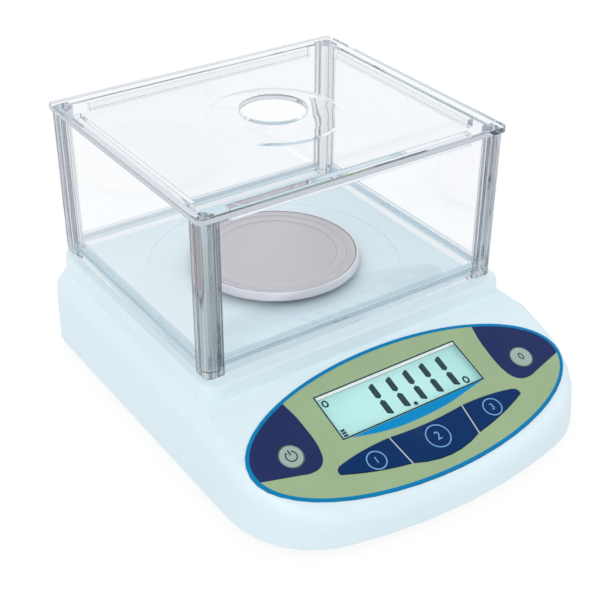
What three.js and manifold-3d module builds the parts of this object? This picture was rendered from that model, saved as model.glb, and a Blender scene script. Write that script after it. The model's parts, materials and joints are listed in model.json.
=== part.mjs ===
// A laboratory precision balance with a round pan inside a clear wind shield.
// Millimetres, +Z up. The front is towards -Y, and the origin lies on the surface that the
// balance stands on, under the middle of its housing.

import * as THREE from 'three';
import { mergeVertices } from 'three/addons/utils/BufferGeometryUtils.js';
import Module from 'manifold-3d';

const wasm = await Module();
wasm.setup();

// Fits
const CLEARANCE = 0.3;
const OVERRUN = 1;

// Smoothness, in faces
const WIDE_ROUND = 48;
const ROUND = 24;
const SMALL_ROUND = 12;
const HEXAGON = 6;
const ARC_STEPS = 6;
const SHOULDER_STEPS = 4;

// Housing
const BODY_WIDTH = 171;
const BODY_DEPTH = 214;
const BODY_HEIGHT = 44;
const STAND_HEIGHT = 5;
const WALL = 2.5;
const REAR_CORNER = 18;
const FRONT_CORNER = 40;
const FRONT_BOW = 224;
const DRAFT = 0.6;
const RIM_CHAMFER = 0.8;
const SHOULDER = 5;
const WIDE_SHOULDER = 12;
const SIDE_DROP = 13;
const FRONT_DROP = 7;

// Raised deck
const PLATFORM_RISE = 7;
const PLATFORM_SIDE_MARGIN = 3.6;
const PLATFORM_FRONT_MARGIN = 6;
const PLATFORM_REAR_MARGIN = 4.5;
const PLATFORM_CORNER = 8;
const PLATFORM_REAR_CORNER = 14;
const PLATFORM_EDGE = 1.2;
const DISH_RADIUS = 58;
const DISH_DEPTH = 0.5;
const COLLAR_RADIUS = 11;
const COLLAR_HEIGHT = 1.6;

// Weighing pan and its spindle
const PAN_SETBACK = 142;
const PAN_RADIUS = 39;
const PAN_FLARE = 1;
const PAN_LIFT = 2.8;
const PAN_SKIRT = 3.6;
const PAN_SHEET = 0.8;
const PAN_RIM_WIDTH = 4.4;
const PAN_STEP = 0.5;
const HUB_RADIUS = 7;
const HUB_DEPTH = 2;
const SPINDLE_RADIUS = 4.2;
const SPINDLE_HOLE = 6.5;
const FLANGE_RADIUS = 11.5;
const FLANGE_THICKNESS = 3;

// Control panel on the slope
const PANEL_TILT = THREE.MathUtils.degToRad(19.3);
const PANEL_DOWN = 35.5;
const OVAL_LENGTH = 159.4;
const OVAL_HEIGHT = 65.6;
const OVERLAY_THICKNESS = 1;
const OVERLAY_PROUD = 0.3;
const WINDOW_WIDTH = 74.2;
const WINDOW_HEIGHT = 22.9;
const WINDOW_RAISE = 10;
const WINDOW_THICKNESS = 1.2;
const GLASS_DEPTH = 1.8;
const GLASS_THICKNESS = 3;
const BACKLIGHT_MARGIN = 2.5;
const BACKLIGHT_THICKNESS = 3;

// Keys
const KEY_TRAVEL = 0.5;
const KEY_PROUD = 0.3;
const KEY_LIP = 1.2;
const KEY_LIP_THICKNESS = 0.9;
const KEY_STEM = 2;
const ROUND_KEY_RADIUS = 5;
const ROUND_KEY_REACH = 60.5;
const ROUND_KEY_RAISE = 1.1;
const STRIP_LENGTH = 96;
const STRIP_HEIGHT = 18.5;
const STRIP_GAP = 6.7;
const DIVIDER = 0.5;
const SIDE_KEY_REACH = 30.7;

// Boards
const BOARD_THICKNESS = 1.6;
const BOARD_EDGE_MARGIN = 3;
const SWITCH_HEIGHT = 1.6;
const SWITCH_SIDE = 6;
const BOARD_POST = 2.4;
const MAIN_BOARD_SIDE_GAP = 11;
const MAIN_BOARD_DEPTH = 70;
const MAIN_BOARD_RAISE = 6;
const MAIN_BOARD_GAP = 12;
const MAIN_BOARD_REAR_GAP = 2;
const CHIP_HEIGHT = 2.2;

// Load cell
const CELL_LENGTH = 80;
const CELL_WIDTH = 20;
const CELL_HEIGHT = 15;
const CELL_BORE = 5;
const CELL_WAIST = 11;
const CELL_SLOT = 3;
const CELL_PLATE = 4;
const CELL_PLATE_LENGTH = 26;
const BOLT_RADIUS = 2;
const BOLT_HEAD_RADIUS = 3;
const BOLT_HEAD = 2.5;
const BOLT_PITCH = 15.4;
const STOP_RADIUS = 3;
const STOP_GAP = 0.7;

// Bottom cover, battery bay and door
const COVER_THICKNESS = 2.5;
const COVER_INSET = 0.4;
const BATTERY_RADIUS = 7.1;
const BATTERY_LENGTH = 50.5;
const BATTERY_PITCH = 15;
const BATTERY_COUNT = 4;
const BAY_WALL = 1.5;
const DOOR_THICKNESS = 1.8;
const DOOR_TONGUE = 1;
const DOOR_TONGUE_THICKNESS = 0.8;
const CONTACT_THICKNESS = 0.5;
const CONTACT_HEIGHT = 9;
const VENT_COUNT = 5;
const VENT_LENGTH = 24;
const VENT_WIDTH = 1.6;
const VENT_PITCH = 5;

// Power inlet
const INLET_SIDE_MARGIN = 29.5;
const INLET_HEIGHT = 15;
const INLET_NOSE = 4.2;
const INLET_BORE = 2.8;
const INLET_PIN = 1;
const INLET_BODY = 11;
const INLET_DEPTH = 9;

// Levelling feet
const REAR_FOOT_SIDE_MARGIN = 25.5;
const REAR_FOOT_MARGIN = 22;
const FRONT_FOOT_SIDE_MARGIN = 35.5;
const FRONT_FOOT_MARGIN = 27;
const FOOT_RADIUS = 10;
const FOOT_PAD = 1.7;
const FOOT_PAD_RADIUS = 8.5;
const FOOT_GRIPS = 8;
const FOOT_GRIP_DEPTH = 0.7;
const STUD_RADIUS = 3;
const STUD_LENGTH = 8;
const FOOT_BOSS = 6;

// Housing screws
const SCREW_RADIUS = 1.5;
const SCREW_HEAD = 3;
const SCREW_HEAD_HEIGHT = 1.4;
const SCREW_SLOT_REACH = 1.8;
const SCREW_LENGTH = 12;
const SCREW_BOSS = 4.2;
const SCREW_EDGE = 13;
const REAR_SCREW_MARGIN = 52;
const FRONT_SCREW_MARGIN = 57;

// Wind shield
const SHIELD_WIDTH = 150;
const SHIELD_DEPTH = 130;
const SHIELD_HEIGHT = 73.4;
const POST = 8.6;
const POST_LEG = 5.2;
const POST_CORNER = 3;
const PANE = 2;
const PANE_INSET = 1.6;
const PANE_GRIP = 2.5;
const RAIL_HEIGHT = 5.6;
const RAIL_RAISE = 0.8;
const RAIL_INSET = 0.5;
const RAIL_DEPTH = 5.8;
const LID_THICKNESS = 2.5;
const LID_OVERHANG = 1;
const LID_CORNER = 3;
const LID_RIB = 3;
const LID_RIB_HEIGHT = 4;
const LID_RIB_SETBACK = 15.5;
const DOME_RADIUS = 29.6;
const DOME_RISE = 3;
const DOME_STEP = 0.4;
const LID_HOLE = 14.7;

// Levels and centres that follow from the sizes above
const bodyHalf = BODY_WIDTH / 2;
const frontY = -BODY_DEPTH / 2;
const rearY = BODY_DEPTH / 2;
const deckTop = STAND_HEIGHT + BODY_HEIGHT;
const ledgeTop = deckTop - PLATFORM_RISE;
const panY = frontY + PAN_SETBACK;
const foldY = panY - SHIELD_DEPTH / 2 - PLATFORM_FRONT_MARGIN;
const platformHalf = SHIELD_WIDTH / 2 + PLATFORM_SIDE_MARGIN;
const platformRear = panY + SHIELD_DEPTH / 2 + PLATFORM_REAR_MARGIN;
const coverBottom = STAND_HEIGHT + COVER_INSET;
const coverTop = coverBottom + COVER_THICKNESS;
const wallBelow = -WALL;
const overlayTop = OVERLAY_PROUD;
const overlayBottom = OVERLAY_PROUD - OVERLAY_THICKNESS;
const recessFloor = overlayBottom - CLEARANCE;
const glassTop = overlayTop - GLASS_DEPTH;
const glassBottom = glassTop - GLASS_THICKNESS;
const backlightTop = glassBottom - CLEARANCE;
const boardTop = backlightTop - BACKLIGHT_THICKNESS - CLEARANCE;
const lipTop = wallBelow - CLEARANCE;
const lipBottom = lipTop - KEY_LIP_THICKNESS;
const switchTop = boardTop + SWITCH_HEIGHT;
const stemBottom = switchTop + KEY_TRAVEL + CLEARANCE / 2;
const stripTop = WINDOW_RAISE - WINDOW_HEIGHT / 2 - STRIP_GAP;

// The panel's own frame: X along the panel, Y up the slope, Z out of it
const panelPlace = new THREE.Vector3(
  0,
  foldY - PANEL_DOWN * Math.cos(PANEL_TILT),
  ledgeTop - PANEL_DOWN * Math.sin(PANEL_TILT),
);
const panelFrame = new THREE.Matrix4()
  .makeRotationX(PANEL_TILT)
  .setPosition(panelPlace);

// Solids

function solid(geometry) {
  const bare = geometry.clone();
  bare.deleteAttribute('normal');
  bare.deleteAttribute('uv');
  const merged = mergeVertices(bare, 1e-4);
  return new wasm.Manifold(new wasm.Mesh({
    numProp: 3,
    vertProperties: new Float32Array(merged.attributes.position.array),
    triVerts: new Uint32Array(merged.index.array),
  }));
}

function surface(body) {
  const mesh = body.getMesh();
  const geometry = new THREE.BufferGeometry();
  const points = new THREE.BufferAttribute(new Float32Array(mesh.vertProperties), 3);
  geometry.setAttribute('position', points);
  geometry.setIndex(new THREE.BufferAttribute(new Uint32Array(mesh.triVerts), 1));
  geometry.computeVertexNormals();
  return geometry;
}

const join = (first, ...others) => others.reduce((sum, next) => sum.add(next), first);
const cut = (first, ...others) => others.reduce((rest, next) => rest.subtract(next), first);

function box(x0, x1, y0, y1, z0, z1) {
  const geometry = new THREE.BoxGeometry(x1 - x0, y1 - y0, z1 - z0);
  return geometry.translate((x0 + x1) / 2, (y0 + y1) / 2, (z0 + z1) / 2);
}

function rod(radius, z0, z1, x = 0, y = 0, sides = SMALL_ROUND) {
  const geometry = new THREE.CylinderGeometry(radius, radius, z1 - z0, sides);
  return geometry.rotateX(Math.PI / 2).translate(x, y, (z0 + z1) / 2);
}

// A turned piece: the profile holds [radius, height] pairs and stands on +Z
function turned(profile, sides = ROUND) {
  const points = profile.map(([r, z]) => new THREE.Vector2(r, z));
  return new THREE.LatheGeometry(points, sides).rotateX(Math.PI / 2);
}

// A plate of constant thickness from one outline, with any holes
function plate(outline, z0, z1, holes = []) {
  const shape = new THREE.Shape(outline);
  shape.holes = holes.map((hole) => new THREE.Path(hole));
  const geometry = new THREE.ExtrudeGeometry(shape, {
    depth: z1 - z0,
    bevelEnabled: false,
    steps: 1,
  });
  return geometry.translate(0, 0, z0);
}

// Walls between rings of equal length, closed by a fan over the first and the last ring
function stack(rings) {
  const count = rings[0].length;
  const index = [];
  for (let ring = 0; ring + 1 < rings.length; ring += 1) {
    for (let i = 0; i < count; i += 1) {
      const a = ring * count + i;
      const b = ring * count + (i + 1) % count;
      index.push(a, b, b + count, a, b + count, a + count);
    }
  }
  const last = (rings.length - 1) * count;
  for (let i = 1; i + 1 < count; i += 1) {
    index.push(0, i + 1, i, last, last + i, last + i + 1);
  }
  const geometry = new THREE.BufferGeometry();
  const points = rings.flat(2);
  geometry.setAttribute('position', new THREE.Float32BufferAttribute(points, 3));
  geometry.setIndex(index);
  return geometry;
}

// Outlines

const polar = (x, y, radius, angle) => new THREE.Vector2(
  x + radius * Math.cos(angle),
  y + radius * Math.sin(angle),
);

function arc(x, y, radius, from, to, steps) {
  return Array.from({ length: steps + 1 }, (_, i) => (
    polar(x, y, radius, from + (to - from) * i / steps)
  ));
}

function ellipse(length, height, steps) {
  return Array.from({ length: steps }, (_, i) => {
    const angle = 2 * Math.PI * i / steps;
    return new THREE.Vector2(length / 2 * Math.cos(angle), height / 2 * Math.sin(angle));
  });
}

const circle = (radius, x = 0, y = 0, steps = ROUND) => (
  arc(x, y, radius, 0, 2 * Math.PI, steps).slice(0, steps)
);

function rounded(x0, x1, y0, y1, radius, steps = ARC_STEPS, far = radius) {
  const quarter = Math.PI / 2;
  return [
    ...arc(x1 - far, y1 - far, far, 0, quarter, steps),
    ...arc(x0 + far, y1 - far, far, quarter, 2 * quarter, steps),
    ...arc(x0 + radius, y0 + radius, radius, 2 * quarter, 3 * quarter, steps),
    ...arc(x1 - radius, y0 + radius, radius, 3 * quarter, 4 * quarter, steps),
  ];
}

// The same outline drawn in on all sides
function inset(points, distance) {
  return points.map((point, i) => {
    const before = points[(i + points.length - 1) % points.length];
    const after = points[(i + 1) % points.length];
    const first = point.clone().sub(before).normalize();
    const second = after.clone().sub(point).normalize();
    const across = new THREE.Vector2(-first.y - second.y, first.x + second.x);
    return point.clone().addScaledVector(across, distance / (1 + first.dot(second)));
  });
}

// The housing seen from above: straight sides and rear, wide front corners, a bowed front.
// It starts where the fold between deck and slope meets the left side.
function bodyOutline(drawnIn) {
  const half = bodyHalf - drawnIn;
  const corner = FRONT_CORNER - drawnIn;
  const rear = REAR_CORNER - drawnIn;
  const cornerX = bodyHalf - FRONT_CORNER;
  const span = FRONT_BOW - FRONT_CORNER;
  const cornerY = frontY + FRONT_BOW - Math.sqrt(span ** 2 - cornerX ** 2);
  const turn = Math.asin(cornerX / span);
  const down = 1.5 * Math.PI;
  const bow = arc(0, frontY + FRONT_BOW, FRONT_BOW - drawnIn, down - turn, down + turn, ARC_STEPS);
  return [
    new THREE.Vector2(-half, foldY),
    ...arc(-cornerX, cornerY, corner, Math.PI, down - turn, ARC_STEPS),
    ...bow.slice(1, -1),
    ...arc(cornerX, cornerY, corner, down + turn, 2 * Math.PI, ARC_STEPS),
    new THREE.Vector2(half, foldY),
    ...arc(bodyHalf - REAR_CORNER, rearY - REAR_CORNER, rear, 0, Math.PI / 2, ARC_STEPS),
    ...arc(REAR_CORNER - bodyHalf, rearY - REAR_CORNER, rear, Math.PI / 2, Math.PI, ARC_STEPS),
  ];
}

// Height of the housing's top: level beside the deck, then falling along the slope
function topHeight(y, sheet) {
  const slope = ledgeTop - (foldY - y) * Math.tan(PANEL_TILT) - sheet / Math.cos(PANEL_TILT);
  return Math.min(ledgeTop - sheet, slope);
}

// Height of the line where the side wall turns into the shoulder
function beltHeight(y) {
  const cornerEnd = frontY + FRONT_CORNER;
  const along = THREE.MathUtils.smoothstep(foldY - y, 0, foldY - cornerEnd);
  return topHeight(y, 0) - THREE.MathUtils.lerp(SIDE_DROP, FRONT_DROP, along);
}

const level = (drawnIn, height) => bodyOutline(drawnIn).map(({ x, y }) => [x, y, height(y)]);

// Rings that turn from a belt line over a shoulder to a top line
function shoulderRings(drawnIn, width, beltAt, topAt) {
  return Array.from({ length: SHOULDER_STEPS + 1 }, (_, step) => {
    const angle = Math.PI / 2 * step / SHOULDER_STEPS;
    return level(drawnIn + width * (1 - Math.cos(angle)), (y) => (
      THREE.MathUtils.lerp(beltAt(y), topAt(y), Math.sin(angle))
    ));
  });
}

// The housing's bulk, sloped in front and broad-shouldered beside the deck.
// With a sheet it is the space inside walls of that thickness.
function bodyBulk(sheet, floor) {
  const chamfer = sheet ? 0 : RIM_CHAMFER;
  const sloped = solid(stack([
    level(sheet + chamfer, () => floor),
    level(sheet, () => floor + RIM_CHAMFER),
    ...shoulderRings(sheet + DRAFT, SHOULDER, beltHeight, (y) => topHeight(y, sheet)),
  ]));
  const belt = ledgeTop - SIDE_DROP;
  const shouldered = solid(stack([
    level(sheet - OVERRUN, () => floor - OVERRUN),
    ...shoulderRings(sheet + DRAFT / 2, WIDE_SHOULDER, () => belt, () => ledgeTop - sheet),
  ]));
  return sloped.intersect(shouldered);
}

// The raised deck's bulk, drawn in by a sheet for the space inside it
function platformBulk(sheet, floor) {
  const ring = (drawnIn, z) => rounded(
    sheet + drawnIn - platformHalf,
    platformHalf - sheet - drawnIn,
    foldY + sheet + drawnIn,
    platformRear - sheet - drawnIn,
    PLATFORM_CORNER - sheet - drawnIn,
    ARC_STEPS,
    PLATFORM_REAR_CORNER - sheet - drawnIn,
  ).map(({ x, y }) => [x, y, z]);
  const top = deckTop - sheet;
  return solid(stack([
    ring(0, floor),
    ring(0, ledgeTop),
    ring(DRAFT, top - PLATFORM_EDGE),
    ring(DRAFT + PLATFORM_EDGE * (1 - Math.SQRT1_2), top - PLATFORM_EDGE * (1 - Math.SQRT1_2)),
    ring(DRAFT + PLATFORM_EDGE, top),
  ]));
}

// Key strip outlines, as shares of half its length and of its height below its top line
const dividerTopShare = 0.398;
const dividerFootShare = 0.361;
const stripFootShare = 0.81;
const sideStemShare = 0.36;
const stripPoint = (xShare, yShare) => [
  xShare * STRIP_LENGTH / 2,
  stripTop - yShare * STRIP_HEIGHT,
];

function centreKeyOutline() {
  const topDipShare = 0.108;
  const bulgeShare = 1.19;
  const shape = new THREE.Shape();
  shape.moveTo(...stripPoint(-dividerTopShare, 0));
  shape.lineTo(...stripPoint(-dividerFootShare, stripFootShare));
  shape.quadraticCurveTo(
    ...stripPoint(0, bulgeShare),
    ...stripPoint(dividerFootShare, stripFootShare),
  );
  shape.lineTo(...stripPoint(dividerTopShare, 0));
  shape.quadraticCurveTo(...stripPoint(0, topDipShare), ...stripPoint(-dividerTopShare, 0));
  return shape.getPoints(ARC_STEPS).slice(0, -1);
}

function rightKeyOutline() {
  const lowShares = [0.7, 0.669];
  const tipLowShares = [0.99, 0.36];
  const tipShares = [1.01, 0.19];
  const tipHighShares = [0.9375, 0.13];
  const highShares = [0.7, -0.01];
  const shape = new THREE.Shape();
  shape.moveTo(...stripPoint(dividerTopShare, 0));
  shape.lineTo(...stripPoint(dividerFootShare, stripFootShare));
  shape.quadraticCurveTo(...stripPoint(...lowShares), ...stripPoint(...tipLowShares));
  shape.quadraticCurveTo(...stripPoint(...tipShares), ...stripPoint(...tipHighShares));
  shape.quadraticCurveTo(...stripPoint(...highShares), ...stripPoint(dividerTopShare, 0));
  return shape.getPoints(ARC_STEPS).slice(0, -1);
}

const mirrored = (points) => points.map(({ x, y }) => new THREE.Vector2(-x, y)).reverse();

// Each key: its opening's outline and the place of its stem
const keys = [
  {
    name: 'power_key',
    opening: circle(ROUND_KEY_RADIUS + CLEARANCE, -ROUND_KEY_REACH, ROUND_KEY_RAISE),
    stem: [-ROUND_KEY_REACH, ROUND_KEY_RAISE],
    round: true,
  },
  {
    name: 'zero_key',
    opening: circle(ROUND_KEY_RADIUS + CLEARANCE, ROUND_KEY_REACH, ROUND_KEY_RAISE),
    stem: [ROUND_KEY_REACH, ROUND_KEY_RAISE],
    round: true,
  },
  {
    name: 'left_key',
    opening: inset(mirrored(rightKeyOutline()), DIVIDER / 2),
    stem: [-SIDE_KEY_REACH, stripTop - STRIP_HEIGHT * sideStemShare],
  },
  {
    name: 'centre_key',
    opening: inset(centreKeyOutline(), DIVIDER / 2),
    stem: [0, stripTop - STRIP_HEIGHT / 2],
  },
  {
    name: 'right_key',
    opening: inset(rightKeyOutline(), DIVIDER / 2),
    stem: [SIDE_KEY_REACH, stripTop - STRIP_HEIGHT * sideStemShare],
  },
];

const windowOutline = (drawnIn) => rounded(
  drawnIn - WINDOW_WIDTH / 2,
  WINDOW_WIDTH / 2 - drawnIn,
  WINDOW_RAISE - WINDOW_HEIGHT / 2 + drawnIn,
  WINDOW_RAISE + WINDOW_HEIGHT / 2 - drawnIn,
  CLEARANCE,
  1,
);

// Places that several pieces share

const screwPlaces = [-1, 1].flatMap((side) => [
  [side * (bodyHalf - SCREW_EDGE), rearY - REAR_SCREW_MARGIN],
  [side * (bodyHalf - SCREW_EDGE), frontY + FRONT_SCREW_MARGIN],
]);

const inletX = bodyHalf - INLET_SIDE_MARGIN;

const footPlaces = [-1, 1].flatMap((side) => [
  [side * (bodyHalf - REAR_FOOT_SIDE_MARGIN), rearY - REAR_FOOT_MARGIN],
  [side * (bodyHalf - FRONT_FOOT_SIDE_MARGIN), frontY + FRONT_FOOT_MARGIN],
]);

const bay = {
  half: (BATTERY_COUNT - 1) * BATTERY_PITCH / 2 + BATTERY_RADIUS + CLEARANCE,
  rear: rearY - WALL - DRAFT - BAY_WALL - 2 * CLEARANCE,
  floor: coverBottom + DOOR_THICKNESS + CLEARANCE,
};
bay.front = bay.rear - BATTERY_LENGTH - 2 * CONTACT_THICKNESS - 4 * CLEARANCE;
bay.roof = bay.floor + 2 * BATTERY_RADIUS + CLEARANCE;
bay.doorHalf = bay.half + BAY_WALL;

const mainBoard = {
  x0: CELL_WIDTH / 2 + MAIN_BOARD_GAP,
  x1: bodyHalf - WALL - MAIN_BOARD_SIDE_GAP,
  y1: bay.front - BAY_WALL - MAIN_BOARD_REAR_GAP,
  bottom: coverTop + MAIN_BOARD_RAISE,
};
mainBoard.y0 = mainBoard.y1 - MAIN_BOARD_DEPTH;
mainBoard.posts = [mainBoard.x0, mainBoard.x1].flatMap((x, i) => (
  [mainBoard.y0, mainBoard.y1].map((y, j) => [
    x + (i ? -1 : 1) * 2 * BOARD_POST,
    y + (j ? -1 : 1) * 2 * BOARD_POST,
  ])
));

const cell = {
  front: panY + FLANGE_RADIUS + CLEARANCE - CELL_LENGTH,
  rear: panY + FLANGE_RADIUS + CLEARANCE,
  bottom: coverTop + CLEARANCE + CELL_PLATE + CLEARANCE,
};
cell.top = cell.bottom + CELL_HEIGHT;
cell.middle = (cell.front + cell.rear) / 2;
cell.fixedBolts = [-1, 1].map((side) => cell.front + (CELL_PLATE_LENGTH + side * BOLT_PITCH) / 2);
cell.loadBolts = [-1, 1].map((side) => panY + side * BOLT_PITCH / 2);

// Pieces of the housing

function upperHousing() {
  const outer = join(bodyBulk(0, STAND_HEIGHT), platformBulk(0, ledgeTop - SIDE_DROP));
  const space = join(
    bodyBulk(WALL, STAND_HEIGHT - OVERRUN),
    platformBulk(WALL, ledgeTop - SIDE_DROP),
  );
  const shell = cut(outer, space);
  const bossFoot = coverTop + CLEARANCE;
  const bosses = screwPlaces.map(([x, y]) => solid(rod(SCREW_BOSS, bossFoot, deckTop - WALL / 2, x, y)));
  const bossHoles = screwPlaces.map(([x, y]) => (
    solid(rod(SCREW_RADIUS + CLEARANCE, bossFoot - OVERRUN, coverBottom + SCREW_LENGTH + OVERRUN, x, y))
  ));
  const boardPosts = displayBoardPosts().map(([x, y]) => (
    solid(rod(BOARD_POST, boardTop + CLEARANCE, wallBelow / 2, x, y).applyMatrix4(panelFrame))
  ));
  const collar = solid(
    rod(COLLAR_RADIUS, deckTop - WALL / 2, deckTop + COLLAR_HEIGHT, 0, panY, ROUND),
  );
  const dish = solid(
    rod(DISH_RADIUS, deckTop - DISH_DEPTH, deckTop + OVERRUN, 0, panY, WIDE_ROUND),
  );
  const spindleHole = solid(rod(
    SPINDLE_HOLE,
    deckTop - WALL - OVERRUN,
    deckTop + COLLAR_HEIGHT + OVERRUN,
    0,
    panY,
    ROUND,
  ));
  const recess = plate(
    ellipse(OVAL_LENGTH + 2 * CLEARANCE, OVAL_HEIGHT + 2 * CLEARANCE, WIDE_ROUND),
    recessFloor,
    OVERRUN,
  );
  const openings = [windowOutline(0), ...keys.map((key) => key.opening)].map((outline) => (
    plate(outline, wallBelow - OVERRUN, OVERRUN)
  ));
  const panelCuts = [recess, ...openings].map((tool) => solid(tool.applyMatrix4(panelFrame)));
  const inletHole = solid(
    rod(INLET_NOSE + CLEARANCE, -WALL * 2, WALL * 2, 0, 0, SMALL_ROUND)
      .rotateX(Math.PI / 2)
      .translate(inletX, rearY, coverTop + INLET_HEIGHT),
  );
  const doorNotch = solid(box(
    -bay.doorHalf - DOOR_TONGUE - CLEARANCE,
    bay.doorHalf + DOOR_TONGUE + CLEARANCE,
    rearY - 2 * WALL - DRAFT,
    rearY + OVERRUN,
    STAND_HEIGHT - OVERRUN,
    coverBottom + DOOR_THICKNESS + CLEARANCE,
  ));
  const filled = join(shell, ...[...bosses, ...boardPosts].map((post) => post.intersect(outer)));
  const decked = join(cut(filled, dish), collar);
  return surface(cut(decked, spindleHole, ...panelCuts, ...bossHoles, inletHole, doorNotch));
}

function bottomCover() {
  const outline = bodyOutline(WALL + CLEARANCE);
  const ring = (z) => outline.map(({ x, y }) => [x, y, z]);
  const sheet = solid(stack([ring(coverBottom), ring(coverTop)]));
  const footBosses = footPlaces.map(([x, y]) => (
    solid(rod(FOOT_BOSS, coverBottom, coverBottom + STUD_LENGTH, x, y))
  ));
  const footHoles = footPlaces.map(([x, y]) => solid(rod(
    STUD_RADIUS + CLEARANCE,
    coverBottom - OVERRUN,
    coverBottom + STUD_LENGTH + OVERRUN,
    x,
    y,
  )));
  const screwHoles = screwPlaces.flatMap(([x, y]) => [
    solid(rod(SCREW_RADIUS + CLEARANCE, coverBottom - OVERRUN, coverTop + OVERRUN, x, y)),
    solid(rod(
      SCREW_HEAD + CLEARANCE,
      coverBottom - OVERRUN,
      coverBottom + SCREW_HEAD_HEIGHT + CLEARANCE,
      x,
      y,
    )),
  ]);
  const boardPosts = mainBoard.posts.map(([x, y]) => (
    solid(rod(BOARD_POST, coverBottom, mainBoard.bottom - CLEARANCE, x, y))
  ));
  const stopHole = solid(rod(
    STOP_RADIUS / 2 + CLEARANCE,
    coverBottom - OVERRUN,
    coverTop + OVERRUN,
    0,
    panY,
  ));
  const bayOuter = solid(box(
    -bay.doorHalf - BAY_WALL,
    bay.doorHalf + BAY_WALL,
    bay.front - BAY_WALL,
    bay.rear + BAY_WALL,
    coverBottom,
    bay.roof + BAY_WALL,
  ));
  const bayInner = solid(box(
    -bay.half,
    bay.half,
    bay.front,
    bay.rear,
    coverBottom - OVERRUN,
    bay.roof,
  ));
  const doorway = solid(box(
    -bay.doorHalf,
    bay.doorHalf,
    bay.front - CLEARANCE,
    rearY,
    coverBottom - OVERRUN,
    bay.floor,
  ));
  const tongueMiddle = coverBottom + DOOR_THICKNESS / 2;
  const tongueHalf = DOOR_TONGUE_THICKNESS / 2 + CLEARANCE;
  const grooves = solid(box(
    -bay.doorHalf - DOOR_TONGUE,
    bay.doorHalf + DOOR_TONGUE,
    bay.front - CLEARANCE,
    rearY,
    tongueMiddle - tongueHalf,
    tongueMiddle + tongueHalf,
  ));
  const vents = Array.from({ length: VENT_COUNT }, (_, i) => {
    const y = cell.front + (i - (VENT_COUNT - 1) / 2) * VENT_PITCH;
    return solid(box(
      -mainBoard.x1,
      VENT_LENGTH - mainBoard.x1,
      y - VENT_WIDTH / 2,
      y + VENT_WIDTH / 2,
      coverBottom - OVERRUN,
      coverTop + OVERRUN,
    ));
  });
  const raised = join(sheet, ...footBosses, ...boardPosts, bayOuter);
  const cuts = [...footHoles, ...screwHoles, stopHole, bayInner, doorway, grooves, ...vents];
  return surface(cut(raised, ...cuts));
}

function batteryDoor() {
  const half = bay.doorHalf - CLEARANCE;
  const front = bay.front;
  const rear = rearY - CLEARANCE;
  const tongueMiddle = coverBottom + DOOR_THICKNESS / 2;
  const sheet = solid(box(-half, half, front, rear, coverBottom, coverBottom + DOOR_THICKNESS));
  const tongue = solid(box(
    -half - DOOR_TONGUE,
    half + DOOR_TONGUE,
    front,
    rear,
    tongueMiddle - DOOR_TONGUE_THICKNESS / 2,
    tongueMiddle + DOOR_TONGUE_THICKNESS / 2,
  ));
  const grips = [-1, 0, 1].map((place) => solid(box(
    -half / 3,
    half / 3,
    rear - (2 + place) * 2 * DOOR_THICKNESS,
    rear - (2 + place) * 2 * DOOR_THICKNESS + DOOR_THICKNESS / 2,
    coverBottom - OVERRUN,
    coverBottom + DOOR_THICKNESS / 3,
  )));
  return surface(cut(join(sheet, tongue), ...grips));
}

// Pieces on the slope, in the panel's frame

function panelOverlay() {
  const holes = [windowOutline(0), ...keys.map((key) => key.opening)];
  return plate(ellipse(OVAL_LENGTH, OVAL_HEIGHT, WIDE_ROUND), overlayBottom, overlayTop, holes);
}

function keyPiece({ opening, stem: [x, y], round }) {
  const cap = solid(plate(inset(opening, CLEARANCE), lipBottom, overlayTop + KEY_PROUD));
  const ys = opening.map((point) => point.y);
  const lip = round
    ? rod(ROUND_KEY_RADIUS + KEY_LIP, lipBottom, lipTop, x, y, ROUND)
    : box(
      x - KEY_STEM,
      x + KEY_STEM,
      Math.min(...ys) - KEY_LIP,
      Math.max(...ys) + KEY_LIP,
      lipBottom,
      lipTop,
    );
  const stem = rod(KEY_STEM, stemBottom, lipTop, x, y);
  return surface(join(cap, solid(lip), solid(stem)));
}

// The board's top edge, and its right half's lower corners, which pass below the switches
function displayBoardSize() {
  const reach = SWITCH_SIDE / 2 + BOARD_EDGE_MARGIN;
  const switchPlaces = [keys[3], keys[4], keys[1]].map((key) => key.stem);
  return {
    high: WINDOW_RAISE + WINDOW_HEIGHT / 2 + BACKLIGHT_MARGIN,
    corners: switchPlaces.map(([x, y]) => [x + reach, y - reach]),
  };
}

function displayBoardPosts() {
  const { high, corners } = displayBoardSize();
  const [half, low] = corners[2];
  const x = half - 2 * SWITCH_SIDE;
  return [-1, 1].flatMap((side) => [
    [side * x, high - 2 * BOARD_POST],
    [side * x, low - BOARD_POST],
  ]);
}

function displayBoard() {
  const { high, corners } = displayBoardSize();
  const rightSide = [...corners, [corners[2][0], high]].map(([x, y]) => new THREE.Vector2(x, y));
  const outline = [...rightSide, ...mirrored(rightSide)];
  const sheet = solid(plate(outline, boardTop - BOARD_THICKNESS, boardTop));
  const switches = keys.map(({ stem: [x, y] }) => {
    const reach = SWITCH_SIDE / 2;
    const base = box(x - reach, x + reach, y - reach, y + reach, boardTop - BOARD_THICKNESS / 2,
      boardTop + SWITCH_HEIGHT / 2);
    return join(solid(base), solid(rod(KEY_STEM, boardTop, switchTop, x, y)));
  });
  const socket = solid(box(
    SIDE_KEY_REACH - SWITCH_SIDE,
    SIDE_KEY_REACH + SWITCH_SIDE,
    high - SWITCH_SIDE,
    high - SWITCH_SIDE / 2,
    boardTop - BOARD_THICKNESS - CHIP_HEIGHT,
    boardTop - BOARD_THICKNESS / 2,
  ));
  return surface(join(sheet, ...switches, socket));
}

// Pieces inside

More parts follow.
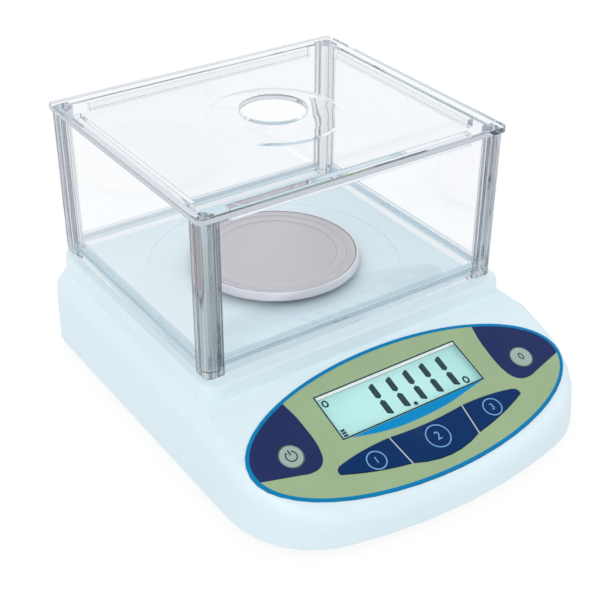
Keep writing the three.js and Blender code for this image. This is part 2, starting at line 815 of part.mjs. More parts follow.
function mainBoardPiece() {
  const { x0, x1, y0, y1, bottom } = mainBoard;
  const top = bottom + BOARD_THICKNESS;
  const sheet = solid(box(x0, x1, y0, y1, bottom, top));
  const chipShares = [
    [0.30, 0.30, 0.28, 0.18],
    [0.68, 0.30, 0.20, 0.12],
    [0.34, 0.62, 0.34, 0.10],
    [0.74, 0.62, 0.12, 0.22],
    [0.50, 0.88, 0.44, 0.07],
  ];
  const chips = chipShares.map(([xShare, yShare, widthShare, depthShare]) => {
    const x = x0 + xShare * (x1 - x0);
    const y = y0 + yShare * (y1 - y0);
    const width = widthShare * (x1 - x0) / 2;
    const depth = depthShare * (y1 - y0) / 2;
    return solid(box(x - width, x + width, y - depth, y + depth, bottom + BOARD_THICKNESS / 2,
      top + CHIP_HEIGHT));
  });
  return surface(join(sheet, ...chips));
}

// The load cell's side: a beam with two bores joined by a slot, which lets it bend
function loadCell() {
  const beam = solid(box(-CELL_WIDTH / 2, CELL_WIDTH / 2, cell.front, cell.rear, cell.bottom, cell.top));
  const middleZ = (cell.bottom + cell.top) / 2;
  const bores = [-1, 1].map((side) => solid(
    rod(CELL_BORE, -CELL_WIDTH, CELL_WIDTH, 0, 0, ROUND)
      .rotateY(Math.PI / 2)
      .translate(0, cell.middle + side * CELL_WAIST, middleZ),
  ));
  const slot = solid(box(
    -CELL_WIDTH,
    CELL_WIDTH,
    cell.middle - CELL_WAIST,
    cell.middle + CELL_WAIST,
    middleZ - CELL_SLOT / 2,
    middleZ + CELL_SLOT / 2,
  ));
  const boltHoles = [...cell.fixedBolts, ...cell.loadBolts].map((y) => solid(
    rod(BOLT_RADIUS + CLEARANCE, cell.bottom - OVERRUN, cell.top + OVERRUN, 0, y),
  ));
  return surface(cut(beam, ...bores, slot, ...boltHoles));
}

function loadCellPlate() {
  const bottom = coverTop + CLEARANCE;
  const top = bottom + CELL_PLATE;
  const sheet = solid(box(
    -CELL_WIDTH / 2,
    CELL_WIDTH / 2,
    cell.front,
    cell.front + CELL_PLATE_LENGTH,
    bottom,
    top,
  ));
  const holes = cell.fixedBolts.map((y) => solid(
    rod(BOLT_RADIUS + CLEARANCE, bottom - OVERRUN, top + OVERRUN, 0, y),
  ));
  return surface(cut(sheet, ...holes));
}

function panSpindle() {
  const bottom = cell.top + CLEARANCE;
  const flangeTop = bottom + FLANGE_THICKNESS;
  const top = deckTop + PAN_LIFT + PAN_SKIRT - PAN_STEP - 2 * PAN_SHEET - CLEARANCE;
  const body = solid(turned([
    [0, bottom],
    [FLANGE_RADIUS, bottom],
    [FLANGE_RADIUS, flangeTop],
    [SPINDLE_RADIUS, flangeTop],
    [SPINDLE_RADIUS, top - PAN_SHEET],
    [SPINDLE_RADIUS - PAN_SHEET, top],
    [0, top],
  ]));
  const holes = cell.loadBolts.map((y) => solid(
    rod(BOLT_RADIUS + CLEARANCE, bottom - OVERRUN, flangeTop + OVERRUN, 0, y - panY),
  ));
  return surface(cut(body, ...holes));
}

// A socket-head bolt standing on the plane that its head rests on
function bolt(length) {
  const head = solid(rod(BOLT_HEAD_RADIUS, CLEARANCE, CLEARANCE + BOLT_HEAD));
  const shank = solid(rod(BOLT_RADIUS, -length, CLEARANCE + BOLT_HEAD / 2));
  const socket = solid(rod(
    BOLT_HEAD_RADIUS / 2,
    CLEARANCE + BOLT_HEAD / 2,
    CLEARANCE + BOLT_HEAD + OVERRUN,
    0,
    0,
    HEXAGON,
  ));
  return surface(cut(join(head, shank), socket));
}

function overloadStop() {
  const top = cell.bottom - STOP_GAP;
  const head = solid(rod(STOP_RADIUS, coverTop + CLEARANCE, top, 0, 0, HEXAGON));
  const shank = solid(rod(STOP_RADIUS / 2, coverBottom + COVER_INSET, top - CLEARANCE));
  return surface(join(head, shank));
}

function weighingPan() {
  const top = PAN_SKIRT - PAN_STEP;
  const crest = PAN_RADIUS - PAN_FLARE;
  const rimInner = crest - PAN_RIM_WIDTH;
  const under = top - PAN_SHEET;
  const socketTop = top - 2 * PAN_SHEET;
  return turned([
    [0, socketTop],
    [SPINDLE_RADIUS + CLEARANCE, socketTop],
    [SPINDLE_RADIUS + CLEARANCE, under - HUB_DEPTH - PAN_SHEET],
    [HUB_RADIUS, under - HUB_DEPTH - PAN_SHEET],
    [HUB_RADIUS, under],
    [rimInner - PAN_SHEET, under],
    [rimInner, PAN_SKIRT - PAN_SHEET],
    [crest - PAN_SHEET, PAN_SKIRT - PAN_SHEET],
    [PAN_RADIUS - PAN_SHEET, 0],
    [PAN_RADIUS, 0],
    [crest, PAN_SKIRT],
    [rimInner, PAN_SKIRT],
    [rimInner - PAN_SHEET, top],
    [0, top],
  ], WIDE_ROUND);
}

function batteryCell() {
  const tip = BATTERY_RADIUS / 3;
  return turned([
    [0, 0],
    [BATTERY_RADIUS, 0],
    [BATTERY_RADIUS, BATTERY_LENGTH - OVERRUN],
    [tip, BATTERY_LENGTH - OVERRUN],
    [tip, BATTERY_LENGTH],
    [0, BATTERY_LENGTH],
  ], SMALL_ROUND);
}

function powerInlet() {
  const rear = rearY - DRAFT - CLEARANCE;
  const inner = rearY - WALL - DRAFT - CLEARANCE;
  const half = INLET_BODY / 2;
  const z = coverTop + INLET_HEIGHT;
  const alongY = (geometry) => geometry.rotateX(Math.PI / 2).translate(inletX, 0, z);
  const body = solid(box(
    inletX - half,
    inletX + half,
    inner - INLET_DEPTH,
    inner,
    z - half,
    z + half,
  ));
  const nose = solid(alongY(rod(INLET_NOSE, -rear, half - inner)));
  const bore = solid(alongY(rod(INLET_BORE, -rear - OVERRUN, INLET_DEPTH - WALL - inner)));
  const pin = solid(alongY(rod(INLET_PIN, OVERRUN - rear, INLET_DEPTH - inner, 0, 0, ARC_STEPS)));
  return surface(join(cut(join(body, nose), bore), pin));
}

// Feet and screws, each in its own frame with Z up

function levellingFoot() {
  const knobTop = coverBottom - CLEARANCE;
  const knobBottom = FOOT_PAD + CLEARANCE;
  const knob = solid(rod(FOOT_RADIUS, knobBottom, knobTop, 0, 0, ROUND));
  const stud = solid(rod(STUD_RADIUS, knobBottom, coverBottom + STUD_LENGTH - OVERRUN));
  const grips = Array.from({ length: FOOT_GRIPS }, (_, i) => {
    const { x, y } = polar(0, 0, FOOT_RADIUS + FOOT_GRIP_DEPTH, 2 * Math.PI * i / FOOT_GRIPS);
    const radius = 2 * FOOT_GRIP_DEPTH;
    return solid(rod(radius, knobBottom - OVERRUN, knobTop + OVERRUN, x, y, HEXAGON));
  });
  return surface(cut(join(knob, stud), ...grips));
}

function footPad() {
  return turned([
    [0, 0],
    [FOOT_PAD_RADIUS - CLEARANCE, 0],
    [FOOT_PAD_RADIUS, CLEARANCE],
    [FOOT_PAD_RADIUS, FOOT_PAD],
    [0, FOOT_PAD],
  ]);
}

function housingScrew() {
  const head = solid(turned([
    [0, 0],
    [SCREW_HEAD - CLEARANCE, 0],
    [SCREW_HEAD, CLEARANCE],
    [SCREW_HEAD, SCREW_HEAD_HEIGHT],
    [0, SCREW_HEAD_HEIGHT],
  ], SMALL_ROUND));
  const shank = solid(rod(SCREW_RADIUS, CLEARANCE, SCREW_LENGTH));
  const slots = [0, Math.PI / 2].map((turn) => solid(
    box(
      -SCREW_SLOT_REACH,
      SCREW_SLOT_REACH,
      -CLEARANCE,
      CLEARANCE,
      -OVERRUN,
      SCREW_HEAD_HEIGHT / 2,
    ).rotateZ(turn),
  ));
  return surface(cut(join(head, shank), ...slots));
}

// Wind shield, in its own frame: X and Y from the middle, Z from the deck

const postTop = SHIELD_HEIGHT - LID_THICKNESS - CLEARANCE;
const slotLow = PANE_INSET - CLEARANCE;
const slotHigh = PANE_INSET + PANE + CLEARANCE;

// A corner post with a groove for each of its two panes; its outer corner is at the origin
function shieldPost() {
  const grip = POST - PANE_GRIP;
  const outline = [
    ...arc(POST_CORNER, POST_CORNER, POST_CORNER, Math.PI, 1.5 * Math.PI, ARC_STEPS),
    ...[
      [POST, 0],
      [POST, slotLow],
      [grip, slotLow],
      [grip, slotHigh],
      [POST, slotHigh],
      [POST, POST_LEG],
      [POST_LEG, POST],
      [slotHigh, POST],
      [slotHigh, grip],
      [slotLow, grip],
      [slotLow, POST],
      [0, POST],
    ].map(([x, y]) => new THREE.Vector2(x, y)),
  ];
  return plate(outline, CLEARANCE, postTop);
}

// A bottom rail along X with a groove on top for the pane; its outer face looks to -Y
function shieldRail(length) {
  const half = length / 2 - POST - CLEARANCE;
  const top = RAIL_RAISE + RAIL_HEIGHT;
  const bar = solid(box(-half, half, RAIL_INSET, RAIL_INSET + RAIL_DEPTH, RAIL_RAISE, top));
  const groove = solid(box(
    -half - OVERRUN,
    half + OVERRUN,
    slotLow,
    slotHigh,
    top - PANE_GRIP,
    top + OVERRUN,
  ));
  return surface(cut(bar, groove));
}

function shieldPane(length) {
  const half = length / 2 - POST + PANE_GRIP - CLEARANCE;
  const bottom = RAIL_RAISE + RAIL_HEIGHT - PANE_GRIP + CLEARANCE;
  return box(-half, half, PANE_INSET, PANE_INSET + PANE, bottom, postTop - CLEARANCE);
}

function shieldLid() {
  const bottom = SHIELD_HEIGHT - LID_THICKNESS;
  const half = { x: SHIELD_WIDTH / 2 + LID_OVERHANG, y: SHIELD_DEPTH / 2 + LID_OVERHANG };
  const outline = rounded(-half.x, half.x, -half.y, half.y, LID_CORNER);
  const sheet = solid(plate(outline, bottom, SHIELD_HEIGHT, [circle(DOME_RADIUS - LID_THICKNESS)]));
  const ribOuter = slotHigh + CLEARANCE;
  const ribs = [
    [SHIELD_WIDTH, SHIELD_DEPTH, 0],
    [SHIELD_DEPTH, SHIELD_WIDTH, Math.PI / 2],
  ].flatMap(([length, across, turn]) => [0, Math.PI].map((flip) => solid(
    box(
      LID_RIB_SETBACK - length / 2,
      length / 2 - LID_RIB_SETBACK,
      ribOuter - across / 2,
      ribOuter + LID_RIB - across / 2,
      bottom - LID_RIB_HEIGHT,
      bottom + LID_THICKNESS / 2,
    ).rotateZ(turn + flip),
  )));
  const vault = (from, base, rise) => Array.from({ length: ARC_STEPS / 2 + 1 }, (_, i) => {
    const reach = 2 * i / ARC_STEPS;
    return [THREE.MathUtils.lerp(from, LID_HOLE, reach), base + rise * (1 - (1 - reach) ** 2)];
  });
  const dome = solid(turned([
    [DOME_RADIUS, bottom],
    ...vault(DOME_RADIUS, SHIELD_HEIGHT + DOME_STEP, DOME_RISE - DOME_STEP),
    ...vault(DOME_RADIUS - 2 * LID_THICKNESS, bottom, DOME_RISE).reverse(),
    [DOME_RADIUS, bottom],
  ], WIDE_ROUND));
  return surface(join(sheet, dome, ...ribs));
}

// Materials

const paint = (color, roughness, metalness = 0, more = {}) => (
  new THREE.MeshStandardMaterial({ color, roughness, metalness, ...more })
);
const clear = { transparent: true, opacity: 0.3 };
const whitePlastic = () => paint(0xe8f1f4, 0.4);
const greyPlastic = () => paint(0xc3cccf, 0.5);
const sagePrint = () => paint(0xa0b991, 0.45);
const blueKey = () => paint(0x00306e, 0.4);
const greyKey = () => paint(0xa9b8ad, 0.45);
const clearPlastic = () => paint(0xe6eef0, 0.08, 0, clear);
const polishedSteel = () => paint(0xc9cbd0, 0.2, 1);
const zincSteel = () => paint(0x9a9da1, 0.35, 1);
const aluminium = () => paint(0xb9bcc0, 0.4, 0.9);
const rubber = () => paint(0x26282a, 0.9);
const blackPlastic = () => paint(0x1c1d1f, 0.5);
const boardGreen = () => paint(0x1f6b45, 0.5);
const displayGlass = () => paint(0xbdebe6, 0.15);
const diffuser = () => paint(0xf2f5f0, 0.6);
const cellWrap = () => paint(0x3c6fa8, 0.4, 0.2);

// Assembly

const balance = new THREE.Group();

function add(parent, name, geometry, material, place = [0, 0, 0], turn = 0) {
  const mesh = new THREE.Mesh(geometry, material);
  mesh.name = name;
  mesh.position.set(...place);
  mesh.rotation.z = turn;
  parent.add(mesh);
}

add(balance, 'upper_housing', upperHousing(), whitePlastic());
add(balance, 'bottom_cover', bottomCover(), greyPlastic());
add(balance, 'battery_door', batteryDoor(), greyPlastic());

const panel = new THREE.Group();
panel.position.copy(panelPlace);
panel.rotation.x = PANEL_TILT;
balance.add(panel);
add(panel, 'panel_overlay', panelOverlay(), sagePrint());
add(
  panel,
  'display_window',
  plate(windowOutline(CLEARANCE), overlayTop - WINDOW_THICKNESS, overlayTop),
  clearPlastic(),
);
add(panel, 'display_glass', plate(windowOutline(CLEARANCE), glassBottom, glassTop), displayGlass());
add(
  panel,
  'display_backlight',
  plate(windowOutline(-BACKLIGHT_MARGIN), backlightTop - BACKLIGHT_THICKNESS, backlightTop),
  diffuser(),
);
add(panel, 'display_board', displayBoard(), boardGreen());
keys.forEach((key) => {
  add(panel, key.name, keyPiece(key), key.round ? greyKey() : blueKey());
});

add(balance, 'main_board', mainBoardPiece(), boardGreen());
add(balance, 'load_cell', loadCell(), aluminium());
add(balance, 'load_cell_plate', loadCellPlate(), zincSteel());
cell.fixedBolts.forEach((y, i) => {
  const place = [0, y, cell.top];
  add(balance, `cell_fixed_bolt_${i + 1}`, bolt(CELL_HEIGHT + CELL_PLATE), zincSteel(), place);
});
cell.loadBolts.forEach((y, i) => {
  const place = [0, y, cell.top + CLEARANCE + FLANGE_THICKNESS];
  add(balance, `cell_load_bolt_${i + 1}`, bolt(CELL_HEIGHT), zincSteel(), place);
});
add(balance, 'overload_stop', overloadStop(), zincSteel(), [0, panY, 0]);
add(balance, 'pan_spindle', panSpindle(), aluminium(), [0, panY, 0]);
add(balance, 'weighing_pan', weighingPan(), polishedSteel(), [0, panY, deckTop + PAN_LIFT]);
add(balance, 'power_inlet', powerInlet(), blackPlastic());

for (let i = 0; i < BATTERY_COUNT; i += 1) {
  const x = (i - (BATTERY_COUNT - 1) / 2) * BATTERY_PITCH;
  const y = (bay.front + bay.rear) / 2;
  const z = bay.floor + BATTERY_RADIUS;
  const flip = i % 2 ? 1 : -1;
  const geometry = batteryCell()
    .translate(0, 0, -BATTERY_LENGTH / 2)
    .rotateX(flip * Math.PI / 2);
  add(balance, `battery_${i + 1}`, geometry, cellWrap(), [x, y, z]);
}
[
  ['front', bay.front + CLEARANCE],
  ['rear', bay.rear - CLEARANCE - CONTACT_THICKNESS],
].forEach(([end, y]) => {
  const z = bay.floor + BATTERY_RADIUS;
  const half = bay.half - CLEARANCE;
  const geometry = box(-half, half, y, y + CONTACT_THICKNESS, z - CONTACT_HEIGHT / 2, z + CONTACT_HEIGHT / 2);
  add(balance, `battery_contact_${end}`, geometry, zincSteel());
});

footPlaces.forEach(([x, y], i) => {
  add(balance, `levelling_foot_${i + 1}`, levellingFoot(), blackPlastic(), [x, y, 0]);
  add(balance, `foot_pad_${i + 1}`, footPad(), rubber(), [x, y, 0]);
});
screwPlaces.forEach(([x, y], i) => {
  add(balance, `housing_screw_${i + 1}`, housingScrew(), zincSteel(), [x, y, coverBottom]);
});

const shield = new THREE.Group();
shield.position.set(0, panY, deckTop);
balance.add(shield);
const sides = [
  ['front', SHIELD_WIDTH, SHIELD_DEPTH, 0],
  ['right', SHIELD_DEPTH, SHIELD_WIDTH, Math.PI / 2],
  ['rear', SHIELD_WIDTH, SHIELD_DEPTH, Math.PI],
  ['left', SHIELD_DEPTH, SHIELD_WIDTH, -Math.PI / 2],
];
sides.forEach(([side, length, across, turn]) => {
  const out = new THREE.Vector3(0, -across / 2, 0).applyAxisAngle(new THREE.Vector3(0, 0, 1), turn);
  add(shield, `shield_rail_${side}`, shieldRail(length), clearPlastic(), out.toArray(), turn);
  add(shield, `shield_pane_${side}`, shieldPane(length), clearPlastic(), out.toArray(), turn);
});
const corners = [
  ['front_left', -1, -1, 0],
  ['front_right', 1, -1, Math.PI / 2],
  ['rear_right', 1, 1, Math.PI],
  ['rear_left', -1, 1, -Math.PI / 2],
];
corners.forEach(([corner, right, back, turn]) => {
  const place = [right * SHIELD_WIDTH / 2, back * SHIELD_DEPTH / 2, 0];
  add(shield, `shield_post_${corner}`, shieldPost(), clearPlastic(), place, turn);
});
add(shield, 'shield_lid', shieldLid(), clearPlastic());

export default balance;
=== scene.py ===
"""The visible pieces and finishes of a laboratory precision balance.

Metres, +Z up. The front is towards -Y, and the origin lies under the middle of the housing, on
the surface that the balance stands on.
"""

import json
import math

import bmesh
import bpy
from bpy.props import FloatProperty, FloatVectorProperty, PointerProperty
from mathutils import Matrix, Vector


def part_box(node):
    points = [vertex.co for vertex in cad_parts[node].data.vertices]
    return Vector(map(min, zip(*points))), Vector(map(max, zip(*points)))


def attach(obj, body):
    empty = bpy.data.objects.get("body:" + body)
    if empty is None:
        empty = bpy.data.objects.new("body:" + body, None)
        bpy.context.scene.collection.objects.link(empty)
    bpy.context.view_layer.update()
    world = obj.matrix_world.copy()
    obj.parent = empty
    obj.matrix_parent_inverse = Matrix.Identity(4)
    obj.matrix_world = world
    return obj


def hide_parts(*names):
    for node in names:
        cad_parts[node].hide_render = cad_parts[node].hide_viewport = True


bl_info = {
    "name": "Precision Balance",
    "version": (1, 0, 0),
    "blender": (4, 5, 0),
    "location": "View3D > Sidebar > Balance",
    "description": "Finishes the pieces of a laboratory precision balance",
    "category": "Object",
}

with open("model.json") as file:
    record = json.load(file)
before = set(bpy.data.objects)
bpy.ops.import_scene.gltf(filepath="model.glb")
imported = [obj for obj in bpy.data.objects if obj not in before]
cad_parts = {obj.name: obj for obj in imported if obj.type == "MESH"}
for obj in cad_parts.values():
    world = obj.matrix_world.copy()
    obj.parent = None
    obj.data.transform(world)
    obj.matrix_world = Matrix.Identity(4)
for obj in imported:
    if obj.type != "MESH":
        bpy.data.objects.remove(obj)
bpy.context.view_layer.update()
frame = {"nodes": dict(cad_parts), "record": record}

MM = 0.001
MERGE = 0.001 * MM
# Edges that turn more than this are eased or stay sharp
SHARP = math.radians(42)
# Faces that turn less than this from one to the next become one face
LEVEL = math.radians(0.5)
# Rise of a face's normal: above the first the face lies level, and below the second it stands
LYING = 0.99
STANDING = 0.5
SIDES = ("front", "right", "rear", "left")
CORNERS = ("front_left", "front_right", "rear_right", "rear_left")
ROUND_KEYS = ("power_key", "zero_key")

record = frame["record"]
slot_of = {row["node"]: row["material_slot"] for row in record["subparts"]}
body_of = {
    node: body for body, nodes in record["behaviour"]["bodies"].items() for node in nodes
}

# The panel's own frame: X along the panel, Y up the slope, Z out of it. Heights lie along Z.
PANEL_TILT = math.radians(19.3)
OVERLAY_MIDDLE = -0.2 * MM
OVERLAY_TOP = 0.3 * MM
KEY_TOP = 0.6 * MM
GLASS_TOP = -1.5 * MM
# Half the thickness of print
PRINT = 0.05 * MM
# How far the border reaches down beside the film
BORDER_DEPTH = 0.5 * MM

overlay_low, overlay_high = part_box("panel_overlay")
panel_turn = Matrix.Rotation(PANEL_TILT, 4, "X")
panel_centre = (overlay_low + overlay_high) / 2 - panel_turn @ Vector((0, 0, OVERLAY_MIDDLE))
panel_frame = Matrix.Translation(panel_centre) @ panel_turn

# Places on the panel in its frame, in millimetres
# Half sizes of the oval
OVAL = (79.85, 32.95)
# Half width, foot and top of the window, and half width of the face behind it
WINDOW = (37.1, -1.45, 21.45)
FACE_REACH = 37.3
# Foot and top of the pale margin over the face, and of the line under it
MARGIN = (20.2, 22.2)
MARGIN_LINE = (19.9, 20.15)
# Middle of the right round key, radius of the opening in the dark end for it, and radius of the
# power sign
ROUND_KEY = (60.5, 1.1)
KEY_HOLE = 5.35
POWER_SIGN = 2.6
# Middle and radius of the ring on each strip key
STRIP_RINGS = {
    "left_key": (-30.3, -15.3, 4.4),
    "centre_key": (0.1, -16.7, 5.6),
    "right_key": (30.8, -14.9, 4.4),
}
# Foot and top of the line between the centre key and the right one, and half its width
DIVIDER_FOOT = (17.35, -23.0)
DIVIDER_TOP = (19.1, -8.3)
DIVIDER_REACH = 0.3

# Radii in the lid: its hole, the hollow under its dome, and the dome's foot
LID_HOLE = 14.7 * MM
LID_HOLLOW = 24.6 * MM
LID_DOME = 29.6 * MM
# The step at the dome's foot, and how near to the foot's ring a point counts as on it
DOME_STEP = 0.4 * MM
RING_SPAN = 0.1 * MM
# From the lid's middle: the hollow lies below the first height, the step's upper ring above the
# second. From its lowest point: the ribs start below the third height, the sheet above it.
HOLLOW_BELOW = 2.5 * MM
STEP_ABOVE = 2 * MM
SHEET_ABOVE = 3 * MM

# Rings pressed into the pan's rim and plate, from the outside in: width and rise in millimetres.
# The rim's top lies more than RIM_RISE above the plate.
RIM_RINGS = ((0.5, 0.0), (0.3, -0.3))
PLATE_RINGS = ((4.3, 0.0), (0.4, -0.2))
RIM_RISE = 0.3 * MM

# Painted shade and painted highlight on the pan by distance from its middle, in millimetres, and
# how
# far the table reaches: levels under 1 are painted shade in its creases, levels over 1 a painted
# highlight on its rim
PAN_PAINTED_LIGHT_AND_SHADE = (
    (27.9, 1),
    (28.3, 0.75),
    (28.7, 1.05),
    (32.6, 1),
    (33.0, 0.8),
    (33.8, 1.15),
    (34.3, 0.85),
    (35, 1),
    (36.7, 1),
    (37.0, 0.3),
    (37.3, 0.35),
    (37.6, 1.6),
    (38.2, 1.35),
)
PAN_PAINTED_LIGHT_REACH = 40

# Clear plastic: the depths at which a ray counts as caught inside, the tint that it leaves with,
# and the tint of lamp light that passes
CAUGHT_DEPTH = 7.5
CAUGHT_MIRRORINGS = 2.5
CAUGHT_TINT = (0.72, 0.75, 0.78)
LAMP_TINT = (0.96, 0.97, 0.975)

# Camera: place in metres; azimuth, elevation and roll in degrees; lens and sensor in millimetres
CAMERA_PLACE = (-0.26758, -0.37545, 0.33762)
CAMERA_ANGLES = (-34.494, 32.351, 0.279)
CAMERA_LENS = 73.5
SENSOR_WIDTH = 36

# Place and width of each lamp in metres. They aim at the middle of the housing.
LAMPS = {
    "key": ((-0.9, -0.9, 1.2), 1.2),
    "fill": ((1.2, -0.8, 0.8), 1.0),
    "rear": ((0.3, 1.3, 1.1), 1.0),
    "side": ((-1.3, 0.1, 0.2), 0.8),
}
LAMP_AIM = Vector((0, 0, 0.04))
# The lamps that metal and clear plastic show
MIRRORED_LAMPS = ("key", "fill")

# Ground: how far it reaches from the middle in metres, its colour, the strength of its own glow,
# and the share of that glow where the ground is seen
GROUND_REACH = 6
PAPER = (0.82, 0.83, 0.84)
GROUND_GLOW = 1.05
GLOW_SHARE = 0.85

# Noise lies almost all between these values
NOISE_SPAN = (0.3, 0.7)


def screen(red, green, blue):
    """A colour as it looks on a screen, 0 to 255, as a shader holds it."""
    return tuple(
        v / 12.92 if v <= 0.04045 else ((v + 0.055) / 1.055) ** 2.4
        for v in (red / 255, green / 255, blue / 255)
    )


def colour(name, description, *value):
    """A setting for a colour, given as it looks on a screen."""
    return FloatVectorProperty(
        name=name,
        description=description,
        subtype="COLOR",
        size=3,
        min=0,
        max=1,
        default=screen(*value),
    )


def size(name, description, millimetres):
    """A setting for a length."""
    return FloatProperty(
        name=name,
        description=description,
        subtype="DISTANCE",
        unit="LENGTH",
        min=0,
        default=millimetres * MM,
    )


def power(name, description, watts):
    """A setting for a lamp's power."""
    return FloatProperty(
        name=name,
        description=description,
        subtype="POWER",
        unit="POWER",
        min=0,
        default=watts,
    )


class BalanceColours(bpy.types.PropertyGroup):
    """Colours of the finishes."""

    housing: colour("Housing", "Moulded shell", 224, 241, 248)
    cover: colour("Cover", "Bottom cover and battery door", 200, 210, 213)
    panel: colour("Panel", "Field of the oval panel", 158, 182, 143)
    border: colour("Border", "Line round the oval panel", 0, 126, 182)
    wedge: colour("Wedges", "Dark ends of the oval panel", 34, 46, 94)
    crescent: colour("Crescent", "Band under the display", 0, 138, 200)
    strip: colour("Strip keys", "Three keys of the leaf-shaped strip", 0, 46, 98)
    mark: colour("Key marks", "Rings and numbers on the strip keys", 120, 172, 224)
    divider: colour("Dividers", "Lines between the strip keys", 190, 205, 216)
    round_key: colour("Round keys", "Keys at the panel's ends", 156, 177, 170)
    display: colour("Display", "Face of the display", 190, 238, 234)
    digit: colour("Digits", "Digits and signs of the display", 0, 56, 70)
    pane: colour("Panes", "Tint of the panes", 253, 254, 255)
    lid: colour("Lid", "Tint of the lid", 247, 249, 251)
    # Both posts are one plastic: the near post's darker tint is painted shade, the others'
    # lighter tint painted light
    near_post: colour("Near post", "Tint of the front left post", 230, 236, 240)
    post: colour("Posts", "Tint of the other corner posts", 246, 248, 251)
    rail: colour("Rails", "Tint of the rails under the panes", 232, 238, 241)
    # Darker tints on the lid's walls and on the eased edges of lid, posts and rails: painted
    # shade that draws dark refraction lines
    lid_wall: colour("Lid walls", "Tint of the lid's standing faces", 206, 211, 219)
    edge: colour("Lid edges", "Tint of the lid's eased edges", 108, 115, 124)
    near_edge: colour("Near post edges", "Tint of the front left post's edges", 70, 80, 94)
    post_edge: colour("Post edges", "Tint of the other posts' eased edges", 148, 155, 167)
    steel: colour("Steel", "Weighing pan", 199, 196, 202)


class BalancePrint(bpy.types.PropertyGroup):
    """Sizes of what is printed on the panel."""

    border_width: size("Border width", "Width of the line round the panel", 1.6)
    bezel_width: size("Bezel width", "Width of the dark line round the display", 0.6)
    digit_width: size("Digit width", "Width of a digit's strokes", 2.9)
    digit_pitch: size("Digit pitch", "Distance from digit to digit", 8.9)
    ring_line: size("Ring line", "Width of the rings on the keys", 0.5)
    edge_radius: size("Edge radius", "Radius of the moulded edges", 0.35)


class BalanceStage(bpy.types.PropertyGroup):
    """Lamps and ground."""

    key_power: power("Key lamp", "Power of the large lamp at the upper left", 9.0)
    fill_power: power("Fill lamp", "Power of the lamp at the right", 3.0)
    rear_power: power("Rear lamp", "Power of the lamp behind the balance", 4.0)
    side_power: power("Side lamp", "Power of the low lamp at the left", 1.6)
    ambient: FloatProperty(
        name="Ambient light",
        description="Strength of the light from all round",
        min=0,
        default=0.66,
    )


# Finishes


def new_finish(name, base, roughness, metallic=0.0):
    """A material with one shader, its node tree, and the object coordinates for its patterns."""
    material = bpy.data.materials.new(name)
    material.use_nodes = True
    tree = material.node_tree
    tree.nodes.clear()
    output = tree.nodes.new("ShaderNodeOutputMaterial")
    shader = tree.nodes.new("ShaderNodeBsdfPrincipled")
    tree.links.new(shader.outputs["BSDF"], output.inputs["Surface"])
    shader.inputs["Base Color"].default_value = (*base, 1)
    shader.inputs["Roughness"].default_value = roughness
    shader.inputs["Metallic"].default_value = metallic
    place = tree.nodes.new("ShaderNodeTexCoord")
    return material, tree, shader, place.outputs["Object"]


def set_surface(tree, surface):
    """Puts a shader on the material's surface."""
    output = next(n for n in tree.nodes if n.type == "OUTPUT_MATERIAL")
    tree.links.new(surface, output.inputs["Surface"])


def noise(tree, vector, scale, detail=2.0, stretch=(1, 1, 1)):
    """A noise pattern of a scale and detail, with its coordinates stretched."""
    mapping = tree.nodes.new("ShaderNodeMapping")
    mapping.inputs["Scale"].default_value = stretch
    tree.links.new(vector, mapping.inputs["Vector"])
    texture = tree.nodes.new("ShaderNodeTexNoise")
    texture.inputs["Scale"].default_value = scale
    texture.inputs["Detail"].default_value = detail
    tree.links.new(mapping.outputs["Vector"], texture.inputs["Vector"])
    return texture.outputs["Fac"]


def combined(tree, operation, first, second):
    """What a calculation makes of two sockets, or of a socket and a number."""
    node = tree.nodes.new("ShaderNodeMath")
    node.operation = operation
    tree.links.new(first, node.inputs[0])
    if isinstance(second, (int, float)):
        node.inputs[1].default_value = second
    else:
        tree.links.new(second, node.inputs[1])
    return node.outputs["Value"]


def vary_colour(tree, shader, factor, base, spread):
    """Lets the colour drift a little darker and lighter with the factor."""
    ramp = tree.nodes.new("ShaderNodeValToRGB")
    low, high = ramp.color_ramp.elements
    low.position, high.position = NOISE_SPAN
    low.color = (*(v * (1 - spread) for v in base), 1)
    high.color = (*(min(1.0, v * (1 + spread)) for v in base), 1)
    tree.links.new(factor, ramp.inputs["Fac"])
    tree.links.new(ramp.outputs["Color"], shader.inputs["Base Color"])


def vary_roughness(tree, shader, factor, low, high):
    """Lets the roughness go from low to high with the factor."""
    span = tree.nodes.new("ShaderNodeMapRange")
    span.inputs["From Min"].default_value, span.inputs["From Max"].default_value = NOISE_SPAN
    span.inputs["To Min"].default_value = low
    span.inputs["To Max"].default_value = high
    tree.links.new(factor, span.inputs["Value"])
    tree.links.new(span.outputs["Result"], shader.inputs["Roughness"])


def raise_grain(tree, shader, height, strength, depth):
    """Raises a fine texture where the height is high."""
    bump = tree.nodes.new("ShaderNodeBump")
    bump.inputs["Strength"].default_value = strength
    bump.inputs["Distance"].default_value = depth
    tree.links.new(height, bump.inputs["Height"])
    tree.links.new(bump.outputs["Normal"], shader.inputs["Normal"])


def moulded_plastic(name, base, roughness=0.35, spread=0.02, texture=0.15):
    """Plastic from a mould: an even colour with faint flow, and a fine spark texture."""
    material, tree, shader, place = new_finish(name, base, roughness)
    vary_colour(tree, shader, noise(tree, place, scale=14, detail=3), base, spread)
    gloss = noise(tree, place, scale=260, detail=2)
    vary_roughness(tree, shader, gloss, low=roughness - 0.05, high=roughness + 0.06)
    spark = noise(tree, place, scale=3200, detail=3)
    raise_grain(tree, shader, spark, strength=texture, depth=0.04 * MM)
    return material


